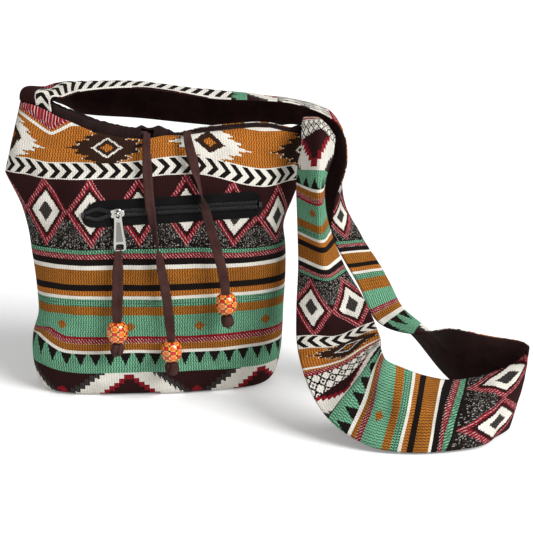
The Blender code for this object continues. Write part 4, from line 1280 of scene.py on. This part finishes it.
def strap_layer(name, lengths, rows, across, chart, shift, thickness, look):
    """One layer of the strap, shifted off its middle surface, with slack, crush folds and edges drawn together."""
    bm, layer = charted()
    made = corners_of(bm, rows)
    charts = [[chart(length, place) for place in across] for length in lengths]
    for low, high, low_chart, high_chart in zip(made, made[1:], charts, charts[1:]):
        strip(bm, layer, high, low, high_chart, low_chart)
    bm.normal_update()
    moves = []
    for row, length in zip(made, lengths):
        slack = min(length, STRAP_LENGTH - length, 0.03) / 0.03
        crush = 0.0042 * window(length, 0.74, 0.05, 1.03, 0.05)
        for vert, place in zip(row, across):
            edge = abs(place) / STRAP_HALF
            soft = 0.0013 * ripple(length, place * 0.8, 0, 0.030, 21.0) + 0.0006 * ripple(length, place, 0, 0.011, 4.0)
            soft += crush * ripple(length, place * 0.35, 0, 0.016, 13.0)
            drawn_in = 0.0006 * edge**6 * (1 if shift > 0 else -1)
            moves.append((vert, vert.normal * (shift + soft * slack * (1 - edge**4) - drawn_in)))
    for vert, move in moves:
        vert.co += move
        vert.co.z = max(vert.co.z, thickness / 2 + 0.0002)
    return thicken(made_object(name, mesh_of(bm, name), look), thickness)


def build_strap(looks):
    """The strap's two pieces of patterned cloth and its lining."""
    fine = strap_fine()
    total = fine[-1][0]
    columns = 36
    count = 420
    across = [STRAP_HALF * (2 * index / columns - 1) for index in range(columns + 1)]
    lengths = [total * index / count for index in range(count + 1)]
    rows = [strap_row(fine, length, across) for length in lengths]
    seam = next(index for index, length in enumerate(lengths) if length >= STRAP_SEAM)
    out = STRAP_GAP / 2 + CLOTH / 2
    inward = -(STRAP_GAP / 2 + LINING / 2)
    cloth = looks["jacquard"]
    end = slice(None, seam + 1)
    rest = slice(seam, None)
    short = strap_layer("strap_short_cloth", lengths[end], rows[end], across, cloth_on_end, out, CLOTH, cloth)
    long = strap_layer("strap_long_cloth", lengths[rest], rows[rest], across, cloth_on_strap, out, CLOTH, cloth)
    lining = strap_layer("strap_lining_cloth", lengths, rows, across, lambda length, place: (place, length),
                         inward, LINING, looks["lining"])
    stand_in(short, "strap_short_piece")
    stand_in(long, "strap_long_piece")
    stand_in(lining, "strap_lining")
    total - STRAP_SEAM


def zip_opened(x):
    """How far open the chain is at a place, from nought to one."""
    return ease(max(0.0, 1 - abs((x - ZIP_OPEN_X) / ZIP_OPEN_HALF)))


def zip_tape(name, sign, look):
    """One half of the zip's woven tape, rounded off at both ends."""
    rows = []
    charts = []
    columns = 90
    for index in range(columns + 1):
        x = ZIP_LEFT + (ZIP_RIGHT - ZIP_LEFT) * index / columns
        from_left = (x - ZIP_LEFT - (0.006 if sign > 0 else 0.0)) / 0.013
        near_end = max(min(from_left, (ZIP_RIGHT - x) / 0.012, 1.0), 0.0)
        high = 0.0118 * (1 - (1 - near_end) ** 2) ** 0.5 + 0.0022
        low = min(0.0007 + 0.0034 * zip_opened(x), high - 0.0006)
        wave = 0.0007 + 0.0002 * ripple(x, sign, 0, 0.012, 3.0)
        ups = [sign * (low + (high - low) * step / 8) for step in range(9)]
        row = [zip_frame(x, up, wave - 0.0004 * (step / 8) ** 3) for step, up in enumerate(ups)]
        chart = [(x, up) for up in ups]
        rows.append(row[::sign])
        charts.append(chart[::sign])
    return thicken(made_object(name, cloth_mesh(name, rows, charts), look), 0.0007)


def ball(bm, at, ways, size, segments, rings):
    """A ball stretched along three ways and set at a point."""
    made = bmesh.ops.create_uvsphere(bm, u_segments=segments, v_segments=rings, radius=1.0)
    placing = Matrix.Translation(at) @ Matrix(ways).transposed().to_4x4() @ Matrix.Diagonal((*size, 1.0))
    bmesh.ops.transform(bm, matrix=placing, verts=made["verts"])


def zip_coil(name, sign, look):
    """One half of the chain, turn by turn."""
    bm = bmesh.new()
    lean = (zip_up() + zip_along() * 0.25 * sign).normalized()
    for number in range(int((ZIP_RIGHT - ZIP_LEFT - 0.008) / COIL_PITCH)):
        x = ZIP_LEFT + 0.004 + COIL_PITCH * (number + (0.5 if sign < 0 else 0.0))
        middle = zip_frame(x, sign * (0.0022 + 0.0030 * zip_opened(x)), 0.0019)
        ball(bm, middle, (zip_along(), lean, zip_out()), COIL_TURN, 8, 6)
    return made_object(name, mesh_of(bm, name), look)


def zip_pieces(looks):
    """The zip's tapes and chain, with thin cloth behind its opening."""
    for side, sign in (("upper", 1), ("lower", -1)):
        stand_in(zip_tape(f"zip_tape_{side}_cloth", sign, looks["tape"]), f"zip_tape_{side}")
        stand_in(zip_coil(f"zip_coil_{side}", sign, looks["coil"]), f"zip_chain_{side}")
    rows = []
    for index in range(61):
        x = ZIP_LEFT + 0.003 + (ZIP_RIGHT - ZIP_LEFT - 0.006) * index / 60
        rows.append([zip_frame(x, 0.0012 * step, 0.0002) for step in range(-5, 6)])
    gusset = made_object("zip_opening", cloth_mesh("zip_opening", rows, [[(0, 0)] * 11] * 61), looks["tape"])


def slider_pieces(metal):
    """The slider: plate, crown and the arch that carries the pull."""
    wings = [(0.0072, 0.0), (0.0068, 0.0026), (0.0045, 0.0036), (0.0, 0.0040)]
    wings += [(-0.0040, 0.0046), (-0.0068, 0.0042), (-0.0074, 0.0020), (-0.0060, 0.0)]
    outline = wings + [(along, -up) for along, up in reversed(wings[1:-1])]
    plate = slab("slider_plate", outline, SLIDER_DEPTH, metal, "slider", 0.0005)
    stand_in(plate, "zip_slider")
    along, up, out = zip_along(), zip_up(), zip_out()
    steps = 24
    centres = []
    rings = []
    for index in range(-1, steps + 2):
        turn = pi * min(max(index, 0), steps) / steps
        spoke = up * cos(turn) + out * sin(turn)
        centre = on_slider(0, 0, AXLE_OUT) + spoke * ARCH_RADIUS
        if index in (-1, steps + 1):
            centre = centre - out * ARCH_LEG
        centres.append(centre)
        rings.append([centre + along * x * ARCH_WIDE + spoke * y * ARCH_THICK for x, y in circle(16)])
    arch = made_object("slider_arch", sweep_mesh("slider_arch", centres, rings), metal, "slider")
    bm = bmesh.new()
    ball(bm, on_slider(-0.0006, 0.0004, 0.0033), (along, out, up), (0.0060, 0.0013, 0.0048), 40, 24)
    crown = made_object("slider_crown", mesh_of(bm, "slider_crown"), metal, "slider")


def cut_through(tab, label, half, bottom, top):
    """Cut a hole with blunt corners through the pull."""
    soft = min(half, 0.0012)
    side = [(half - soft, top), (half, top - soft), (half, bottom + soft), (half - soft, bottom)]
    depth = (AXLE_OUT - 0.004, AXLE_OUT + 0.004)
    cutter = slab(f"pull_{label}_tool", mirrored(side), depth, tab.data.materials[0], "pull")
    tool = tab.modifiers.new(label, "BOOLEAN")
    tool.object = cutter
    tool.solver = "EXACT"
    bpy.context.view_layer.objects.active = tab
    bpy.ops.object.modifier_apply(modifier=label)
    bpy.data.objects.remove(cutter, do_unlink=True)


def pull_pieces(looks):
    """The pull tab, with an eye on the arch, a slot for the ribbon and a raised field."""
    side = [(0.0034, PULL_HIGH), (0.0040, -0.0015), (0.0041, -0.0060), (0.0046, -0.0140), (0.0054, -0.0220)]
    side += [(0.0063, -0.0300), (0.0066, PULL_LOW + 0.004), (0.0060, PULL_LOW + 0.0012), (0.0044, PULL_LOW)]
    depth = (AXLE_OUT - PULL_THICK / 2, AXLE_OUT + PULL_THICK / 2)
    tab = slab("pull_plate", mirrored(side), depth, looks["metal"], "pull")
    cut_through(tab, "eye", 0.0017, -0.0045, -PULL_HIGH)
    cut_through(tab, "slot", 0.0040, PULL_LOW + 0.0014, PULL_LOW + 0.0072)
    soften(tab, 0.00045)
    split = tab.modifiers.new("Split", "TRIANGULATE")
    split.min_vertices = 5
    stand_in(tab, "pull_tab")
    field = [(0.0019, -0.0085), (0.0024, -0.0140), (0.0031, -0.0220), (0.0037, -0.0295)]
    depth = (AXLE_OUT + 0.0004, AXLE_OUT + 0.00095)
    raised = slab("pull_inset", mirrored(field), depth, looks["dull_metal"], "pull", 0.0003)
    raised.parent = tab


def tube(name, points, radius, look):
    """A round tube along points."""
    rings = []
    face = None
    for index, centre in enumerate(points):
        along = (points[min(index + 1, len(points) - 1)] - points[max(index - 1, 0)]).normalized()
        face = face or along.orthogonal().normalized()
        face = (face - along * face.dot(along)).normalized()
        side = along.cross(face)
        rings.append([centre + (face * x + side * y) * radius for x, y in circle(12)])
    return made_object(name, sweep_mesh(name, points, rings), look)


def free_end(name, points, turns, widths, body, looks, exit_point=None):
    """A free tape along points, from its exit point when one is given."""
    route_points = [exit_point, *points] if exit_point else points
    tape, route = tape_cord(f"{name}_tape", route_points, turns, widths, body, looks["cord"])
    lengths_along(route)[-1]
    return tape


def build_cords(looks):
    """The drawstring's run inside the hem, its two hanging ends, and the ribbon on the pull."""
    start = casing_angle(EXIT_LEFT_X - EXIT_TURN)
    stop = casing_angle(EXIT_RIGHT_X + EXIT_TURN) - 2 * pi
    inner = [casing_point(start + (stop - start) * index / 160) for index in range(161)]
    run = tube("drawstring_run", [Vector(LEFT_END[0]), *inner, Vector(RIGHT_END[0])], 0.0021, looks["cord"])
    stand_in(run, "drawstring")
    bead("left_end_bead_painted", LEFT_END, "bead_on_left_end", looks["bead"], "left_end_bead", 0.4)
    bead("right_end_bead_painted", RIGHT_END, "bead_on_right_end", looks["bead"], "right_end_bead", 1.9)
    bead("pull_bead_painted", PULL_RIBBON, "bead_on_pull", looks["bead"], "pull_bead", 2.8)
    left = knot("left_end_knot_tied", LEFT_END, "bag", looks["cord"], "left_end_knot", 0.5, 1.32)
    right = knot("right_end_knot_tied", RIGHT_END, "bag", looks["cord"], "right_end_knot", 2.0, 1.22)
    pull = knot("pull_knot_tied", PULL_RIBBON, "pull", looks["cord"], "pull_knot", 1.2, 1.26)
    wide = [(0, 0.0068), (0.08, 0.0085), (0.2, TAPE_WIDTH), (0.86, TAPE_WIDTH), (0.94, 0.0075), (1, 0.0052)]
    turns = [(0, 0), (0.30, 8), (0.47, 60), (0.60, 150), (0.72, 185), (1, 200)]
    free_end("left_end", LEFT_END, turns, wide, "bag", looks)
    turns = [(0, 0), (0.20, 0), (0.36, -70), (0.52, -165), (0.8, -190), (1, -180)]
    free_end("right_end", RIGHT_END, turns, wide, "bag", looks)
    full = [(0, 0.0072), (0.10, 0.0085), (0.25, 0.0118), (0.70, 0.0118), (0.88, 0.0085), (1, 0.0052)]
    turns = [(0, 0), (0.5, 10), (0.75, -20), (1, 0)]
    ribbon = free_end("pull_ribbon", PULL_RIBBON, turns, full, "pull", looks, (-0.0352, -0.0598, 0.1668))
    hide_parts("pull_ribbon")


def pouch(look):
    """The pocket of thin cloth behind the zip, open at its top."""
    name = "pocket_pouch_cloth"
    columns = 24
    steps = 14
    rows = []
    for index in range(steps + 1):
        row = []
        for inset, places in ((POUCH_FRONT_INSET, range(columns + 1)), (POUCH_BACK_INSET, range(columns, -1, -1))):
            for step in places:
                x = POUCH_LEFT + (POUCH_RIGHT - POUCH_LEFT) * step / columns
                z = zip_line(x)[1] - 0.0115 - POUCH_DEPTH * (1 - index / steps)
                row.append(wall_place(x, z, inset))
        rows.append(row)
    charts = [[(point.x, point.z) for point in row] for row in rows]
    mesh = cloth_mesh(name, rows, charts, closed=True)
    bm = bmesh.new()
    bm.from_mesh(mesh)
    bm.verts.ensure_lookup_table()
    last = 2 * columns + 1
    for step in range(columns):
        bm.faces.new([bm.verts[corner] for corner in (step + 1, step, last - step, last - 1 - step)])
    bm.to_mesh(mesh)
    bm.free()
    return thicken(stand_in(made_object(name, mesh, look), "pocket_pouch"), 0.0006)


def placed(name, data):
    item = bpy.data.objects.new(name, data)
    bpy.context.scene.collection.objects.link(item)
    return item


def camera():
    """The view of the photograph."""
    data = bpy.data.cameras.new("camera")
    data.lens = 100.03
    data.sensor_width = 36.0
    item = placed("camera", data)
    item.location = (0.118, -1.538, 0.571)
    item.rotation_euler = (radians(74), 0, 0)
    bpy.context.scene.camera = item


def surroundings():
    """A white floor, an even white sky and one broad soft lamp."""
    bm = bmesh.new()
    bmesh.ops.create_grid(bm, x_segments=1, y_segments=1, size=12.0)
    mesh = mesh_of(bm, "floor")
    look = material("floor_paper", (0.93, 0.93, 0.93), 1.0)
    shader = look.node_tree.nodes["Principled BSDF"]
    shader.inputs["Specular IOR Level"].default_value = 0.0
    seen = look.node_tree.nodes.new("ShaderNodeLightPath")
    glow = Number(look.node_tree, seen.outputs["Is Camera Ray"]) * FLOOR_GLOW
    look.node_tree.links.new(glow.socket, shader.inputs["Emission Strength"])
    shader.inputs["Emission Color"].default_value = (1.0, 1.0, 1.0, 1.0)
    mesh.materials.append(look)
    placed("floor", mesh)
    world = bpy.data.worlds.new("sky")
    world.use_nodes = True
    back = world.node_tree.nodes["Background"]
    back.inputs["Color"].default_value = (1.0, 1.0, 1.0, 1.0)
    seen = world.node_tree.nodes.new("ShaderNodeLightPath")
    strength = Number(world.node_tree, seen.outputs["Is Camera Ray"]) * (1 - SKY) + SKY
    world.node_tree.links.new(strength.socket, back.inputs["Strength"])
    bpy.context.scene.world = world
    sun = bpy.data.lights.new("key", "SUN")
    sun.energy = KEY
    sun.angle = radians(34)
    lamp = placed("key", sun)
    lamp.rotation_euler = Vector((0, 0, -1)).rotation_difference(KEY_WAY).to_euler()
    bpy.context.scene.view_settings.view_transform = "Standard"


def dress():
    """Build and colour every piece."""
    camera()
    surroundings()
    jacquard = jacquard_material("jacquard_cloth", jacquard_group())
    cotton = cotton_group()
    looks = {
        "jacquard": jacquard,
        "lining": cotton_material("lining_cotton", cotton, screen(40, 24, 24), screen(66, 42, 38)),
        "hem": cotton_material("hem_cotton", cotton, screen(28, 18, 18), screen(50, 32, 31)),
        "cord": cotton_material("tape_cotton", cotton, screen(52, 30, 28), screen(88, 60, 56), 0.00025),
        "pouch": cotton_material("pouch_cotton", cotton, screen(30, 20, 20), screen(44, 30, 30)),
        "tape": cotton_material("zip_tape_weave", cotton, screen(12, 11, 12), screen(26, 24, 26)),
        "coil": material("nylon_coil", screen(34, 33, 34), 0.34),
        "metal": metal_material("nickel_plate", 214, 0.10),
        "dull_metal": metal_material("nickel_inset", 150, 0.30),
        "bead": bead_material(),
    }
    stand_in(panel("front_cloth", True, jacquard), "front_panel")
    stand_in(panel("back_cloth", False, jacquard), "back_panel")
    stand_in(lining_shell(looks["lining"]), "body_lining")
    stand_in(mouth_hem(looks["hem"]), "mouth_casing")
    pouch(looks["pouch"])
    zip_pieces(looks)
    slider_pieces(looks["metal"])
    pull_pieces(looks)
    build_cords(looks)
    build_strap(looks)
    for name in ("zip_stop_left", "zip_stop_right"):
        stop = bpy.data.objects[name].data
        stop.materials.clear()
        stop.materials.append(looks["coil"])


dress()
